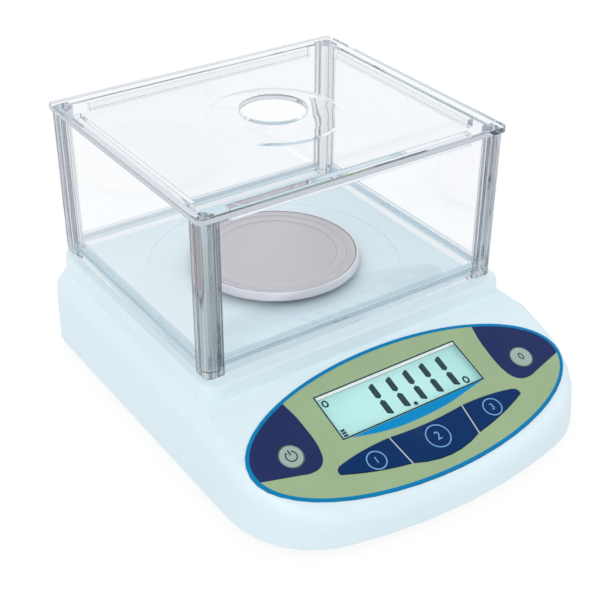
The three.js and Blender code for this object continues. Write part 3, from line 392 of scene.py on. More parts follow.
def printed_film(name, base, roughness=0.42, shine=0.1, glow=0.0):
    """Printed film: a flat ink colour under a satin face with a very fine orange peel."""
    material, tree, shader, place = new_finish(name, base, roughness)
    shader.inputs["Specular IOR Level"].default_value = shine
    shader.inputs["Emission Color"].default_value = (*base, 1)
    shader.inputs["Emission Strength"].default_value = glow
    vary_colour(tree, shader, noise(tree, place, scale=60, detail=4), base, spread=0.035)
    gloss = noise(tree, place, scale=900, detail=2)
    vary_roughness(tree, shader, gloss, low=roughness - 0.06, high=roughness + 0.06)
    peel = noise(tree, place, scale=2200, detail=2)
    raise_grain(tree, shader, peel, strength=0.1, depth=0.02 * MM)
    return material


def turned_steel(name, base):
    """Steel with fine rings from turning round the middle of the pan, with painted shade in its
    creases and a painted highlight on its rim.
    """
    material, tree, shader, place = new_finish(name, base, roughness=0.4, metallic=1.0)
    low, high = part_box("weighing_pan")
    centre = (low + high) / 2
    mapping = tree.nodes.new("ShaderNodeMapping")
    mapping.inputs["Location"].default_value = (-centre.x, -centre.y, 0)
    mapping.inputs["Scale"].default_value = (1, 1, 0)
    tree.links.new(place, mapping.inputs["Vector"])
    radius = tree.nodes.new("ShaderNodeVectorMath")
    radius.operation = "LENGTH"
    tree.links.new(mapping.outputs["Vector"], radius.inputs[0])
    rings = tree.nodes.new("ShaderNodeTexNoise")
    rings.noise_dimensions = "1D"
    rings.inputs["Scale"].default_value = 2600
    rings.inputs["Detail"].default_value = 3
    tree.links.new(radius.outputs["Value"], rings.inputs["W"])
    vary_roughness(tree, shader, rings.outputs["Fac"], low=0.36, high=0.44)
    raise_grain(tree, shader, rings.outputs["Fac"], strength=0.3, depth=0.01 * MM)
    drift = combined(tree, "MULTIPLY", noise(tree, place, scale=60, detail=3), 0.004)
    share = combined(tree, "DIVIDE", radius.outputs["Value"], PAN_PAINTED_LIGHT_REACH * MM)
    # Painted shade in the creases and painted highlight on the rim, ring by ring from the middle
    painted_light_ramp = tree.nodes.new("ShaderNodeValToRGB")
    levels = painted_light_ramp.color_ramp
    levels.elements[0].color = levels.elements[1].color = (*base, 1)
    for distance, level in PAN_PAINTED_LIGHT_AND_SHADE:
        tone = (min(1.0, v * level) for v in base)
        levels.elements.new(distance / PAN_PAINTED_LIGHT_REACH).color = (*tone, 1)
    tree.links.new(combined(tree, "ADD", share, drift), painted_light_ramp.inputs["Fac"])
    tree.links.new(painted_light_ramp.outputs["Color"], shader.inputs["Base Color"])
    return material


def plated_metal(name, base, roughness=0.34, stretch=(1, 1, 1)):
    """Plated or machined metal with faint marks along the way it was worked."""
    material, tree, shader, place = new_finish(name, base, roughness, metallic=1.0)
    vary_colour(tree, shader, noise(tree, place, scale=120, detail=3), base, spread=0.06)
    marks = noise(tree, place, scale=1400, detail=3, stretch=stretch)
    vary_roughness(tree, shader, marks, low=roughness - 0.08, high=roughness + 0.1)
    raise_grain(tree, shader, marks, strength=0.15, depth=0.02 * MM)
    return material


def let_through(tree, surface, factor, tint):
    """A surface that turns clear, with a tint, where the factor is 1."""
    clear = tree.nodes.new("ShaderNodeBsdfTransparent")
    clear.inputs["Color"].default_value = (*tint, 1)
    mix = tree.nodes.new("ShaderNodeMixShader")
    tree.links.new(factor, mix.inputs["Fac"])
    tree.links.new(surface, mix.inputs[1])
    tree.links.new(clear.outputs["BSDF"], mix.inputs[2])
    return mix.outputs["Shader"]


def clear_plastic(name, base, index=1.49, streaks=None, depth=0.0, roughness=0.02):
    """Polished clear plastic: lamp light passes unbent, and light caught inside leaves dimmed."""
    material, tree, shader, place = new_finish(name, base, roughness)
    # Stretched noise streaks the colour: painted refraction lines, dark and light
    if streaks:
        lines = noise(tree, place, scale=620, detail=3, stretch=streaks)
        vary_colour(tree, shader, lines, base, spread=depth)
    shader.inputs["Transmission Weight"].default_value = 1.0
    shader.inputs["IOR"].default_value = index
    vary_roughness(tree, shader, noise(tree, place, scale=90, detail=3), low=0.0, high=roughness)
    waves = noise(tree, place, scale=24, detail=2)
    raise_grain(tree, shader, waves, strength=0.03, depth=0.2 * MM)
    path = tree.nodes.new("ShaderNodeLightPath")
    deep = combined(tree, "GREATER_THAN", path.outputs["Ray Depth"], CAUGHT_DEPTH)
    often = combined(tree, "GREATER_THAN", path.outputs["Glossy Depth"], CAUGHT_MIRRORINGS)
    caught = combined(tree, "MAXIMUM", deep, often)
    lamp_light = combined(
        tree, "MAXIMUM", path.outputs["Is Shadow Ray"], path.outputs["Is Diffuse Ray"]
    )
    surface = let_through(tree, shader.outputs["BSDF"], caught, CAUGHT_TINT)
    set_surface(tree, let_through(tree, surface, lamp_light, LAMP_TINT))
    return material


def soft_rubber(name, base):
    """Matt rubber with a coarse skin."""
    material, tree, shader, place = new_finish(name, base, roughness=0.8)
    vary_colour(tree, shader, noise(tree, place, scale=150, detail=4), base, spread=0.2)
    vary_roughness(tree, shader, noise(tree, place, scale=500, detail=2), low=0.7, high=0.92)
    skin = noise(tree, place, scale=1500, detail=4)
    raise_grain(tree, shader, skin, strength=0.4, depth=0.05 * MM)
    return material


def circuit_board(name, base):
    """Solder mask with fine tracks that show as lighter lines."""
    material, tree, shader, place = new_finish(name, base, roughness=0.35)
    darker, lighter = 0.8, 1.9
    cells = tree.nodes.new("ShaderNodeTexBrick")
    cells.inputs["Scale"].default_value = 120
    cells.inputs["Mortar Size"].default_value = 0.03
    cells.inputs["Color1"].default_value = (*base, 1)
    cells.inputs["Color2"].default_value = (*(v * darker for v in base), 1)
    cells.inputs["Mortar"].default_value = (*(min(1.0, v * lighter) for v in base), 1)
    tree.links.new(place, cells.inputs["Vector"])
    tree.links.new(cells.outputs["Color"], shader.inputs["Base Color"])
    vary_roughness(tree, shader, noise(tree, place, scale=400, detail=2), low=0.28, high=0.45)
    raise_grain(tree, shader, cells.outputs["Fac"], strength=0.3, depth=0.03 * MM)
    return material


def display_face(name, base):
    """The display's face, faintly lit from behind, with a pool of that light painted into its
    colour: pale in the middle, painted shade at its edges.
    """
    material, tree, shader, place = new_finish(name, base, roughness=0.5)
    shader.inputs["Specular IOR Level"].default_value = 0.1
    low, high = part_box("display_glass")
    painted_glow_shift = Vector((6 * MM, 2 * MM, 0))
    painted_glow_reach = (55 * MM, 21 * MM, 1)
    mapping = tree.nodes.new("ShaderNodeMapping")
    mapping.vector_type = "TEXTURE"
    mapping.inputs["Location"].default_value = (low + high) / 2 - painted_glow_shift
    mapping.inputs["Rotation"].default_value = (PANEL_TILT, 0, 0)
    mapping.inputs["Scale"].default_value = painted_glow_reach
    tree.links.new(place, mapping.inputs["Vector"])
    # Painted glow: the base colour is pale in the middle and darker towards the edges
    glow = tree.nodes.new("ShaderNodeTexGradient")
    glow.gradient_type = "SPHERICAL"
    tree.links.new(mapping.outputs["Vector"], glow.inputs["Vector"])
    grain = combined(tree, "MULTIPLY", noise(tree, place, scale=90, detail=3), 0.12)
    level = combined(tree, "ADD", glow.outputs["Fac"], grain)
    duller = (0.7, 0.82, 0.83)
    ramp = tree.nodes.new("ShaderNodeValToRGB")
    edge, middle = ramp.color_ramp.elements
    edge.position, middle.position = 0.0, 0.7
    edge.color = (*(v * share for v, share in zip(base, duller)), 1)
    middle.color = (*base, 1)
    shader.inputs["Emission Color"].default_value = (*base, 1)
    shader.inputs["Emission Strength"].default_value = 0.1
    tree.links.new(level, ramp.inputs["Fac"])
    tree.links.new(ramp.outputs["Color"], shader.inputs["Base Color"])
    vary_roughness(tree, shader, noise(tree, place, scale=700, detail=2), low=0.44, high=0.56)
    return material


# For each finish: what makes it, its colour or the setting that holds it, and further values
FINISHES = {
    "white_plastic": (moulded_plastic, "housing", {}),
    "grey_plastic": (moulded_plastic, "cover", dict(roughness=0.5, spread=0.03, texture=0.3)),
    "printed_film": (printed_film, "panel", {}),
    "border_ink": (printed_film, "border", {}),
    "wedge_ink": (printed_film, "wedge", {}),
    "crescent_ink": (printed_film, "crescent", {}),
    "divider_ink": (printed_film, "divider", {}),
    "mark_ink": (printed_film, "mark", {}),
    "digit_ink": (printed_film, "digit", dict(roughness=0.5)),
    "clear_plastic": (clear_plastic, "pane", {}),
    "lid_plastic": (clear_plastic, "lid", dict(index=1.2)),
    # Darker tints on the lid's walls and the eased edges of lid, posts and rails: painted shade
    # as dark refraction lines
    "lid_wall_plastic": (clear_plastic, "lid_wall", dict(index=1.2)),
    "edge_plastic": (clear_plastic, "edge", dict(index=1.3)),
    "near_edge_plastic": (clear_plastic, "near_edge", dict(index=1.3)),
    "post_edge_plastic": (clear_plastic, "post_edge", dict(index=1.3)),
    "rail_edge_plastic": (clear_plastic, "lid_wall", dict(index=1.12)),
    # Two copies of one post plastic: the front left post darker and more streaked as painted
    # shade, the others lighter as painted light
    "near_post_plastic": (clear_plastic, "near_post", dict(streaks=(1, 1, 0.01), depth=0.8)),
    "post_plastic": (clear_plastic, "post", dict(index=1.4, streaks=(1, 1, 0.01), depth=0.4)),
    "rail_plastic": (clear_plastic, "rail", dict(index=1.12)),
    "window_plastic": (clear_plastic, "pane", dict(index=1.25)),
    "display": (display_face, "display", {}),
    "margin_ink": (printed_film, screen(248, 251, 249), dict(glow=0.2)),
    "margin_line_ink": (printed_film, screen(128, 150, 152), {}),
    "diffuser": (moulded_plastic, screen(244, 246, 242), dict(roughness=0.6)),
    "circuit_board": (circuit_board, screen(28, 108, 70), {}),
    "grey_key": (moulded_plastic, "round_key", dict(roughness=0.45, texture=0.1)),
    "blue_key": (printed_film, "strip", {}),
    "aluminium": (plated_metal, screen(196, 198, 202), dict(roughness=0.36, stretch=(1, 6, 1))),
    "zinc_steel": (plated_metal, screen(168, 171, 176), {}),
    "polished_steel": (turned_steel, "steel", {}),
    "black_plastic": (
        moulded_plastic,
        screen(32, 33, 36),
        dict(roughness=0.45, spread=0.1, texture=0.3),
    ),
    "cell_wrap": (printed_film, screen(60, 112, 168), dict(roughness=0.28)),
    "rubber": (soft_rubber, screen(40, 42, 44), {}),
}


def finish(name):
    """The finish of that name, made when it is first asked for."""
    full_name = f"{name}_finish"
    if full_name in bpy.data.materials:
        return bpy.data.materials[full_name]
    maker, base, values = FINISHES[name]
    if isinstance(base, str):
        base = getattr(bpy.context.scene.balance_colours, base)
    return maker(full_name, base, **values)


# Pieces


def settle(piece, body):
    """Puts a piece in the scene, on its body."""
    if piece.name not in bpy.context.scene.collection.objects:
        bpy.context.scene.collection.objects.link(piece)
    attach(piece, body)


def fine_piece(node, edge=0, material=None, steps=2, edge_material=None):
    """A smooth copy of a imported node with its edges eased, which stands for the node."""
    mesh = frame["nodes"][node].data.copy()
    mesh.name = f"{node}_surface"
    work = bmesh.new()
    work.from_mesh(mesh)
    bmesh.ops.remove_doubles(work, verts=work.verts, dist=MERGE)
    bmesh.ops.dissolve_limit(
        work,
        angle_limit=LEVEL,
        use_dissolve_boundaries=False,
        verts=work.verts,
        edges=work.edges,
        delimit=set(),
    )
    for face in work.faces:
        face.smooth = True
    work.to_mesh(mesh)
    work.free()
    if not edge:
        mesh.set_sharp_from_angle(angle=SHARP)
    mesh.materials.clear()
    mesh.materials.append(finish(material or slot_of[node]))
    piece = bpy.data.objects.new(f"{node}_surface", mesh)
    settle(piece, body_of[node])
    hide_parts(node)
    if edge:
        ease = piece.modifiers.new("Eased edges", "BEVEL")
        ease.width = edge
        ease.segments = steps
        ease.limit_method = "ANGLE"
        ease.angle_limit = SHARP
        # The eased faces take a finish of their own: on the shield, a darker tint that is painted
        # shade
        if edge_material:
            mesh.materials.append(finish(edge_material))
            ease.material = 1
    level = piece.modifiers.new("Even shading", "WEIGHTED_NORMAL")
    level.keep_sharp = not edge
    level.weight = 60
    return piece


def paint_node(node):
    """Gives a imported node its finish."""
    material = finish(slot_of[node])
    piece = frame["nodes"][node]
    if not piece.material_slots:
        piece.data.materials.append(material)
    for holder in piece.material_slots:
        holder.material = material


# Printed shapes on the panel. An outline is a list of points, each with its two handles.


def corner(x, y):
    """A point at which an outline turns sharply."""
    return (x, y), "VECTOR", "VECTOR"


def bend(x, y):
    """A point through which an outline runs smoothly."""
    return (x, y), "AUTO", "AUTO"


def oval(x, y, across, up):
    """A closed oval by its centre and half sizes."""
    pull = 4 / 3 * (math.sqrt(2) - 1)
    outline = []
    for turn in range(4):
        along = Vector((math.cos(turn * math.pi / 2), math.sin(turn * math.pi / 2)))
        back = Vector((along.y, -along.x))
        points = [along, along + pull * back, along - pull * back]
        outline.append(tuple((x + p.x * across, y + p.y * up) for p in points))
    return outline


def box_outline(x0, x1, y0, y1):
    """A rectangle by its sides."""
    return [corner(x0, y0), corner(x1, y0), corner(x1, y1), corner(x0, y1)]


def mirrored(outline):
    """An outline on the other side of the panel."""
    flip = [
        tuple(v if isinstance(v, str) else (-v[0], v[1]) for v in point) for point in outline
    ]
    return [(place, right, left) for place, left, right in reversed(flip)]


def solid_mesh(name, curve, place):
    """The mesh of a curve or a text, closed, and then put in its place on the panel."""
    holder = bpy.data.objects.new(name, curve)
    bpy.context.scene.collection.objects.link(holder)
    mesh = bpy.data.meshes.new_from_object(
        holder.evaluated_get(bpy.context.evaluated_depsgraph_get())
    )
    bpy.data.objects.remove(holder)
    bpy.data.curves.remove(curve)
    work = bmesh.new()
    work.from_mesh(mesh)
    bmesh.ops.remove_doubles(work, verts=work.verts, dist=MERGE)
    bmesh.ops.recalc_face_normals(work, faces=work.faces)
    work.transform(panel_frame @ Matrix.Translation(place))
    work.to_mesh(mesh)
    work.free()
    mesh.name = name
    mesh.materials.clear()
    return mesh


def flat_shape(name, outlines, low, high):
    """A plate between two heights in the panel's frame. An outline inside another is a hole."""
    curve = bpy.data.curves.new(name, "CURVE")
    curve.dimensions = "2D"
    curve.fill_mode = "BOTH"
    curve.resolution_u = 24
    curve.extrude = (high - low) / 2
    for outline in outlines:
        spline = curve.splines.new("BEZIER")
        spline.bezier_points.add(len(outline) - 1)
        spline.use_cyclic_u = True
        for point, (place, left, right) in zip(spline.bezier_points, outline):
            point.co = (place[0] * MM, place[1] * MM, 0)
            for side, handle in (("left", left), ("right", right)):
                if isinstance(handle, str):
                    setattr(point, f"handle_{side}_type", handle)
                else:
                    setattr(point, f"handle_{side}_type", "FREE")
                    setattr(point, f"handle_{side}", (handle[0] * MM, handle[1] * MM, 0))
    mesh = solid_mesh(name, curve, (0, 0, (low + high) / 2))
    piece = bpy.data.objects.new(name, mesh)
    bpy.context.scene.collection.objects.link(piece)
    return piece


def printed(name, outlines, ink, height, body="housing"):
    """Ink or a thin film that stands a hair above the face it is printed on."""
    piece = flat_shape(name, outlines, height - PRINT, height + PRINT)
    piece.data.materials.append(finish(ink))
    settle(piece, body)


def number_sign(name, number, x, y, tall, ink, body):
    """A plain number on a key."""
    letters = bpy.data.curves.new(name, "FONT")
    letters.body = number
    letters.size = tall * MM
    letters.align_x, letters.align_y = "CENTER", "CENTER"
    letters.extrude = PRINT
    letters.resolution_u = 6
    mesh = solid_mesh(name, letters, (x * MM, y * MM, KEY_TOP))
    mesh.materials.append(finish(ink))
    settle(bpy.data.objects.new(name, mesh), body)


def trim(piece, cutter):
    """Keeps of a piece only what lies inside the cutter."""
    cut = piece.modifiers.new("Trim", "BOOLEAN")
    cut.operation = "INTERSECT"
    cut.solver = "EXACT"
    cut.object = cutter
    mesh = bpy.data.meshes.new_from_object(
        piece.evaluated_get(bpy.context.evaluated_depsgraph_get())
    )
    piece.modifiers.remove(cut)
    piece.data = mesh


class BALANCE_OT_stage(bpy.types.Operator):
    """Make the camera, the ground, the lamps and the light from all round."""

    bl_idname = "balance.stage"
    bl_label = "Stage"

    def execute(self, context):
        scene = context.scene
        stage = scene.balance_stage
        scene.view_settings.view_transform = "Standard"
        self.camera(scene)
        self.ground(scene)
        self.lamps(scene, stage)
        self.world(scene, stage.ambient)
        return {"FINISHED"}

    def camera(self, scene):
        """Looks from the camera's place along its azimuth and elevation, tilted by its roll."""
        azimuth, elevation, roll = (math.radians(v) for v in CAMERA_ANGLES)
        back = Vector(
            (
                math.sin(azimuth) * math.cos(elevation),
                -math.cos(azimuth) * math.cos(elevation),
                math.sin(elevation),
            )
        )
        right = Vector((0, 0, 1)).cross(back).normalized()
        up = back.cross(right)
        turned_right = math.cos(roll) * right + math.sin(roll) * up
        turned_up = math.cos(roll) * up - math.sin(roll) * right
        data = bpy.data.cameras.new("camera")
        data.sensor_width = SENSOR_WIDTH
        data.lens = CAMERA_LENS
        data.clip_start = 0.01
        camera = bpy.data.objects.new("camera", data)
        turn = Matrix((turned_right, turned_up, back)).transposed().to_4x4()
        camera.matrix_world = Matrix.Translation(CAMERA_PLACE) @ turn
        scene.collection.objects.link(camera)
        scene.camera = camera

    def ground(self, scene):
        """White paper. Where it is seen, most of it is its own glow, so shadows stay pale."""
        mesh = bpy.data.meshes.new("ground")
        work = bmesh.new()
        bmesh.ops.create_grid(work, x_segments=1, y_segments=1, size=GROUND_REACH)
        work.to_mesh(mesh)
        work.free()
        ground = bpy.data.objects.new("ground", mesh)
        scene.collection.objects.link(ground)
        material, tree, shader, place = new_finish("ground_paper", PAPER, roughness=0.9)
        shader.inputs["Specular IOR Level"].default_value = 0.0
        vary_colour(tree, shader, noise(tree, place, scale=6, detail=2), PAPER, spread=0.005)
        glow = tree.nodes.new("ShaderNodeEmission")
        glow.inputs["Strength"].default_value = GROUND_GLOW
        share = combined(tree, "MULTIPLY", self.seen_rays(tree), GLOW_SHARE)
        mix = tree.nodes.new("ShaderNodeMixShader")
        tree.links.new(share, mix.inputs["Fac"])
        tree.links.new(shader.outputs["BSDF"], mix.inputs[1])
        tree.links.new(glow.outputs["Emission"], mix.inputs[2])
        set_surface(tree, mix.outputs["Shader"])
        mesh.materials.append(material)

    def seen_rays(self, tree):
        """1 for rays from the camera, and for those that metal and clear plastic pass on."""
        path = tree.nodes.new("ShaderNodeLightPath")
        total = path.outputs["Is Camera Ray"]
        for kind in ("Is Glossy Ray", "Is Transmission Ray"):
            add = tree.nodes.new("ShaderNodeMath")
            add.operation = "ADD"
            add.use_clamp = True
            tree.links.new(total, add.inputs[0])
            tree.links.new(path.outputs[kind], add.inputs[1])
            total = add.outputs["Value"]
        return total

    def lamps(self, scene, stage):
        """Square lamps that aim at the housing. Metal and clear plastic show only some."""
        for lamp_name, (place, width) in LAMPS.items():
            data = bpy.data.lights.new(f"{lamp_name}_lamp", "AREA")
            data.shape = "SQUARE"
            data.size = width
            data.energy = getattr(stage, f"{lamp_name}_power")
            lamp = bpy.data.objects.new(f"{lamp_name}_lamp", data)
            turn = (LAMP_AIM - Vector(place)).to_track_quat("-Z", "Y").to_matrix().to_4x4()
            lamp.matrix_world = Matrix.Translation(place) @ turn
            lamp.visible_glossy = lamp.visible_transmission = lamp_name in MIRRORED_LAMPS
            scene.collection.objects.link(lamp)

    def world(self, scene, ambient):
        """White from all round, dimmer as a light than where it is seen."""
        world = bpy.data.worlds.new("studio")
        world.use_nodes = True
        tree = world.node_tree
        back = next(n for n in tree.nodes if n.type == "BACKGROUND")
        back.inputs["Color"].default_value = (1, 1, 1, 1)
        strength = tree.nodes.new("ShaderNodeMapRange")
        strength.inputs["To Min"].default_value = ambient
        strength.inputs["To Max"].default_value = 1.0
        tree.links.new(self.seen_rays(tree), strength.inputs["Value"])
        tree.links.new(strength.outputs["Result"], back.inputs["Strength"])
        scene.world = world


class BALANCE_OT_housing(bpy.types.Operator):
    """Finish the moulded housing, its cover, the battery door and the screws."""

    bl_idname = "balance.housing"
    bl_label = "Housing"

    def execute(self, context):
        edge = context.scene.balance_print.edge_radius
        fine_piece("upper_housing", edge)
        fine_piece("bottom_cover")
        fine_piece("battery_door", edge / 2)
        fine_piece("power_inlet")
        for number in range(1, 5):
            fine_piece(f"housing_screw_{number}")
        return {"FINISHED"}


class BALANCE_OT_panel(bpy.types.Operator):
    """Finish the oval panel: its film, border, dark ends and the band under the display."""

    bl_idname = "balance.panel"
    bl_label = "Panel"

    def execute(self, context):
        fine_piece("panel_overlay")
        across, up = OVAL
        line = context.scene.balance_print.border_width / MM
        field = oval(0, 0, across - line, up - line)
        border = flat_shape(
            "panel_border",
            [oval(0, 0, across, up), field],
            OVERLAY_TOP - BORDER_DEPTH,
            OVERLAY_TOP + PRINT,
        )
        border.data.materials.append(finish("border_ink"))
        settle(border, "housing")
        # Its points at 40 and 90 lie outside the field, which trims it
        wedge = [
            corner(52.5, 40),
            ((49.9, 23.2), "VECTOR", "AUTO"),
            bend(48.6, 16.9),
            bend(48.0, 9.9),
            bend(47.8, 3.4),
            bend(48.5, -2.2),
            bend(49.9, -5.8),
            bend(52.5, -8.1),
            bend(57.2, -8.9),
            ((62.5, -7.7), "AUTO", "VECTOR"),
            corner(90, -0.6),
            corner(90, 40),
        ]
        key_hole = oval(*ROUND_KEY, KEY_HOLE, KEY_HOLE)
        for name, outlines in (
            ("right_wedge", [wedge, key_hole]),
            ("left_wedge", [mirrored(wedge), mirrored(key_hole)]),
        ):
            piece = flat_shape(name, outlines, OVERLAY_TOP - PRINT, OVERLAY_TOP + PRINT)
            mask = flat_shape("mask", [field], OVERLAY_TOP - MM, OVERLAY_TOP + MM)
            trim(piece, mask)
            bpy.data.objects.remove(mask)
            piece.data.materials.clear()
            piece.data.materials.append(finish("wedge_ink"))
            settle(piece, "housing")
        crescent = [
            corner(-33.4, -1.7),
            ((36.2, -1.5), "VECTOR", (34.0, -1.9)),
            ((20.3, -4.4), (27.5, -2.9), (13.5, -5.6)),
            ((-2.5, -6.1), (6.0, -6.1), (-11.5, -6.1)),
            ((-20.5, -4.7), (-15.0, -5.6), (-27.5, -3.4)),
        ]
        printed("display_crescent", [crescent], "crescent_ink", OVERLAY_TOP)
        return {"FINISHED"}


class BALANCE_OT_display(bpy.types.Operator):
    """Finish the display: its window, bezel, face, digits and signs."""

    bl_idname = "balance.display"
    bl_label = "Display"

    def execute(self, context):
        sizes = context.scene.balance_print
        fine_piece("display_window", material="window_plastic")
        fine_piece("display_glass")
        paint_node("display_backlight")
        paint_node("display_board")
        line = sizes.bezel_width / MM
        reach, foot, top = WINDOW
        bezel = [
            box_outline(-reach, reach, foot, top),
            box_outline(line - reach, reach - line, foot + line, top - line),
        ]
        printed("display_bezel", bezel, "digit_ink", OVERLAY_TOP)
        margin = [box_outline(-FACE_REACH, FACE_REACH, *MARGIN)]
        margin_line = [box_outline(-FACE_REACH, FACE_REACH, *MARGIN_LINE)]
        digits = self.digits(sizes.digit_width / MM, sizes.digit_pitch / MM)
        for name, outlines, ink in (
            ("display_margin", margin, "margin_ink"),
            ("display_margin_line", margin_line, "margin_line_ink"),
            ("display_digits", digits, "digit_ink"),
            ("display_signs", self.signs(), "digit_ink"),
        ):
            printed(name, outlines, ink, GLASS_TOP)
        return {"FINISHED"}

    def digits(self, width, pitch):
        """Five figures of two strokes each, and the point between the second and third."""
        first, joint, half = -10.3, 9.55, width / 2
        stroke = [(0, 0.35), (1, 1.4), (1, 8.0), (0.4, 8.25), (-1, 7.1), (-1, 1.4)]
        point = oval(2.5, 1.5, 0.95, 0.95)
        outlines = [point]
        for place in range(5):
            x = first + place * pitch
            for way in (-1, 1):
                outlines.append(
                    [corner(x + across * half, joint + way * away) for across, away in stroke]
                )
        return outlines

    def signs(self):
        """The ring of a steady reading, a ring where the unit stands, and a cell's three bars."""
        cell = [box_outline(-34.9, -32.9, 0.2 + step, 1.2 + step) for step in (0, 1.3, 2.6)]
        return [
            oval(-33.2, 17.4, 1.5, 1.8),
            oval(-33.2, 17.4, 0.75, 1.0),
            oval(30.4, 2.3, 1.6, 1.9),
            oval(30.4, 2.3, 0.75, 1.05),
            *cell,
        ]


class BALANCE_OT_keys(bpy.types.Operator):
    """Finish the keys and their plain marks."""

    bl_idname = "balance.keys"
    bl_label = "Keys"

    def execute(self, context):
        sizes = context.scene.balance_print
        line = sizes.ring_line / MM
        for key in ROUND_KEYS:
            fine_piece(key, sizes.edge_radius)
        for key in STRIP_RINGS:
            fine_piece(key, sizes.edge_radius / 2)
        for number, (key, (x, y, radius)) in zip("123", STRIP_RINGS.items()):
            ring = [oval(x, y, radius, radius), oval(x, y, radius - line, radius - line)]
            printed(f"{key}_ring", ring, "mark_ink", KEY_TOP, key)
            number_sign(f"{key}_number", number, x, y, radius, "mark_ink", key)
        x, y = ROUND_KEY
        half_bar, bar_foot, bar_top = 0.3, 0.5, 3.0
        bar = [box_outline(-x - half_bar, -x + half_bar, y + bar_foot, y + bar_top)]
        printed("power_sign_bar", bar, "digit_ink", KEY_TOP, "power_key")
        arc = [self.open_ring(-x, y, POWER_SIGN, line)]
        printed("power_sign_ring", arc, "digit_ink", KEY_TOP, "power_key")
        number_sign("zero_sign", "0", x, y, 2 * POWER_SIGN, "digit_ink", "zero_key")
        for name, side in (("left_divider", -1), ("right_divider", 1)):
            printed(name, [self.divider(side)], "divider_ink", OVERLAY_TOP)
        return {"FINISHED"}

    def divider(self, side):
        """The slanting line on one side of the centre key."""
        foot, top = side * DIVIDER_FOOT[0], side * DIVIDER_TOP[0]
        return [
            corner(foot - DIVIDER_REACH, DIVIDER_FOOT[1]),
            corner(foot + DIVIDER_REACH, DIVIDER_FOOT[1]),
            corner(top + DIVIDER_REACH, DIVIDER_TOP[1]),
            corner(top - DIVIDER_REACH, DIVIDER_TOP[1]),
        ]

    def open_ring(self, x, y, radius, line):
        """A ring that is open at the top."""
        turns = [math.radians(v) for v in range(-240, 61, 30)]
        outer = [bend(x + radius * math.cos(t), y + radius * math.sin(t)) for t in turns]
        short = radius - line
        inner = [bend(x + short * math.cos(t), y + short * math.sin(t)) for t in turns[::-1]]
        for row in (outer, inner):
            row[0] = (row[0][0], "VECTOR", "AUTO")
            row[-1] = (row[-1][0], "AUTO", "VECTOR")
        return outer + inner


class BALANCE_OT_pan(bpy.types.Operator):
    """Finish the weighing pan and what carries it."""

    bl_idname = "balance.pan"
    bl_label = "Pan"

    def execute(self, context):
        pan = fine_piece("weighing_pan", context.scene.balance_print.edge_radius / 2)
        self.press_rings(pan.data)
        fine_piece("pan_spindle")
        fine_piece("load_cell")
        paint_node("load_cell_plate")
        paint_node("overload_stop")
        for bolt in ("cell_fixed_bolt", "cell_load_bolt"):
            for number in (1, 2):
                paint_node(f"{bolt}_{number}")
        return {"FINISHED"}

    def press_rings(self, mesh):
        """Sinks a band into the top of the rim, and the middle of the plate inside it."""
        work = bmesh.new()
        work.from_mesh(mesh)
        level = [face for face in work.faces if face.normal.z > LYING]
        plate = max(level, key=lambda face: face.calc_area())
        rim_foot = plate.calc_center_median().z + RIM_RISE
        rim = [face for face in level if face.calc_center_median().z > rim_foot]
        for faces, rings in ((rim, RIM_RINGS), ([plate], PLATE_RINGS)):
            for width, rise in rings:
                bmesh.ops.inset_region(
                    work,
                    faces=faces,
                    thickness=width * MM,
                    depth=rise * MM,
                    use_even_offset=True,
                    use_boundary=True,
                )
        work.to_mesh(mesh)
        work.free()


class BALANCE_OT_shield(bpy.types.Operator):
    """Finish the clear wind shield: posts, rails, panes and lid."""

    bl_idname = "balance.shield"
    bl_label = "Wind shield"

    def execute(self, context):
        edge = context.scene.balance_print.edge_radius
        for place in CORNERS:
            # The front left post takes a darker copy of the post finish as painted shade, and
            # every eased edge a darker tint as painted shade
            near = place == "front_left"
            tint = "near_post_plastic" if near else "post_plastic"
            painted_edge_shade = "near_edge_plastic" if near else "post_edge_plastic"
            fine_piece(f"shield_post_{place}", edge, tint, edge_material=painted_edge_shade)
        for side in SIDES:
            fine_piece(
                f"shield_rail_{side}",
                edge / 2,
                "rail_plastic",
                steps=1,
                edge_material="rail_edge_plastic",
            )
            fine_piece(f"shield_pane_{side}", edge / 2)
        lid = fine_piece("shield_lid", edge / 2, "lid_plastic", edge_material="edge_plastic")
        lid.modifiers["Even shading"].keep_sharp = True
        low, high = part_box("shield_lid")
        self.even_dome(lid.data, (low + high) / 2)
        self.tint_walls(lid.data, low.z + SHEET_ABOVE)
        return {"FINISHED"}

    def even_dome(self, mesh, middle):
        """Gives the dome a wall as thick as the sheet, which bends no light, and no step."""
        work = bmesh.new()
        work.from_mesh(mesh)
        for vert in work.verts:
            across = (vert.co - middle).to_2d()
            if across.length < LID_HOLLOW + MERGE and vert.co.z < middle.z + HOLLOW_BELOW:
                share = (across.length - LID_HOLE) / (LID_HOLLOW - LID_HOLE)
                shift = across.normalized() * share * (LID_DOME - LID_HOLLOW)
                vert.co += Vector((*shift, 0))
            elif self.on_ring(vert, middle) and vert.co.z > middle.z + STEP_ABOVE:
                vert.co.z -= DOME_STEP
        bmesh.ops.remove_doubles(work, verts=work.verts, dist=MERGE)
        for edge in work.edges:
            edge.smooth = not all(self.on_ring(vert, middle) for vert in edge.verts)
        work.to_mesh(mesh)
        work.free()

    def on_ring(self, vert, middle):
        """Whether a point lies on the ring at the dome's foot."""
        return abs((vert.co - middle).to_2d().length - LID_DOME) < RING_SPAN

    def tint_walls(self, mesh, height):
        """Gives the standing faces that start above a height the finish of the lid's walls, a
        darker tint that is painted shade.
        """
        mesh.materials.append(finish("lid_wall_plastic"))
        walls = len(mesh.materials) - 1
        for face in mesh.polygons:
            foot = min(mesh.vertices[index].co.z for index in face.vertices)
            if abs(face.normal.z) < STANDING and foot > height:
                face.material_index = walls


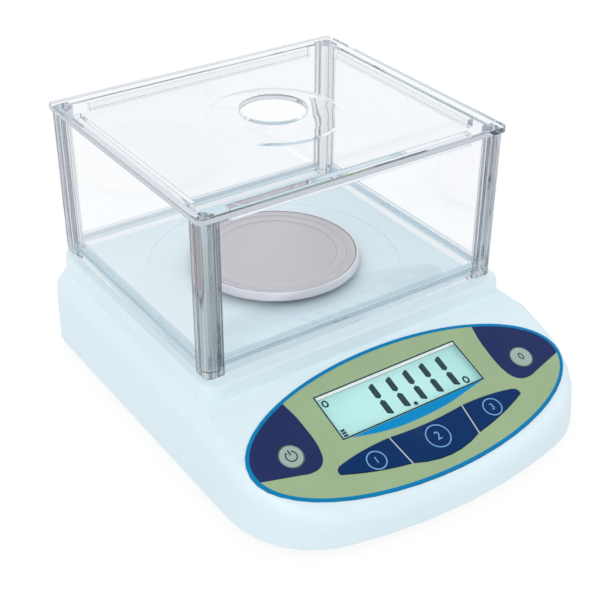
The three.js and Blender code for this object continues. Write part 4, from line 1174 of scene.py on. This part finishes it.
class BALANCE_OT_feet(bpy.types.Operator):
    """Finish the levelling feet and their pads."""

    bl_idname = "balance.feet"
    bl_label = "Feet"

    def execute(self, context):
        for number in range(1, 5):
            fine_piece(f"levelling_foot_{number}", context.scene.balance_print.edge_radius / 2)
            fine_piece(f"foot_pad_{number}")
        return {"FINISHED"}


class BALANCE_OT_power(bpy.types.Operator):
    """Finish the main board, the cells and their contacts."""

    bl_idname = "balance.power"
    bl_label = "Board and cells"

    def execute(self, context):
        paint_node("main_board")
        for end in ("front", "rear"):
            paint_node(f"battery_contact_{end}")
        for number in range(1, 5):
            fine_piece(f"battery_{number}")
        return {"FINISHED"}


OPERATORS = (
    BALANCE_OT_stage,
    BALANCE_OT_housing,
    BALANCE_OT_panel,
    BALANCE_OT_display,
    BALANCE_OT_keys,
    BALANCE_OT_pan,
    BALANCE_OT_shield,
    BALANCE_OT_feet,
    BALANCE_OT_power,
)


class BALANCE_PT_parts(bpy.types.Panel):
    """Lists the steps and the settings."""

    bl_idname = "BALANCE_PT_parts"
    bl_label = "Precision balance"
    bl_space_type = "VIEW_3D"
    bl_region_type = "UI"
    bl_category = "Balance"

    def draw(self, context):
        for operator in OPERATORS:
            self.layout.operator(operator.bl_idname)
        for group in SETTINGS:
            settings = getattr(context.scene, group)
            box = self.layout.box()
            for name in settings.__annotations__:
                box.prop(settings, name)


SETTINGS = {
    "balance_colours": BalanceColours,
    "balance_print": BalancePrint,
    "balance_stage": BalanceStage,
}


def register():
    """Make the classes and the settings known."""
    for cls in (*SETTINGS.values(), *OPERATORS, BALANCE_PT_parts):
        bpy.utils.register_class(cls)
    for name, group in SETTINGS.items():
        setattr(bpy.types.Scene, name, PointerProperty(type=group))


def unregister():
    """Take the settings and the classes away again."""
    for name in SETTINGS:
        delattr(bpy.types.Scene, name)
    for cls in reversed((*SETTINGS.values(), *OPERATORS, BALANCE_PT_parts)):
        bpy.utils.unregister_class(cls)


def main():
    """Finish the balance step by step."""
    register()
    bpy.ops.balance.stage()
    bpy.ops.balance.housing()
    bpy.ops.balance.panel()
    bpy.ops.balance.display()
    bpy.ops.balance.keys()
    bpy.ops.balance.pan()
    bpy.ops.balance.shield()
    bpy.ops.balance.feet()
    bpy.ops.balance.power()


if __name__ == "__main__":
    main()
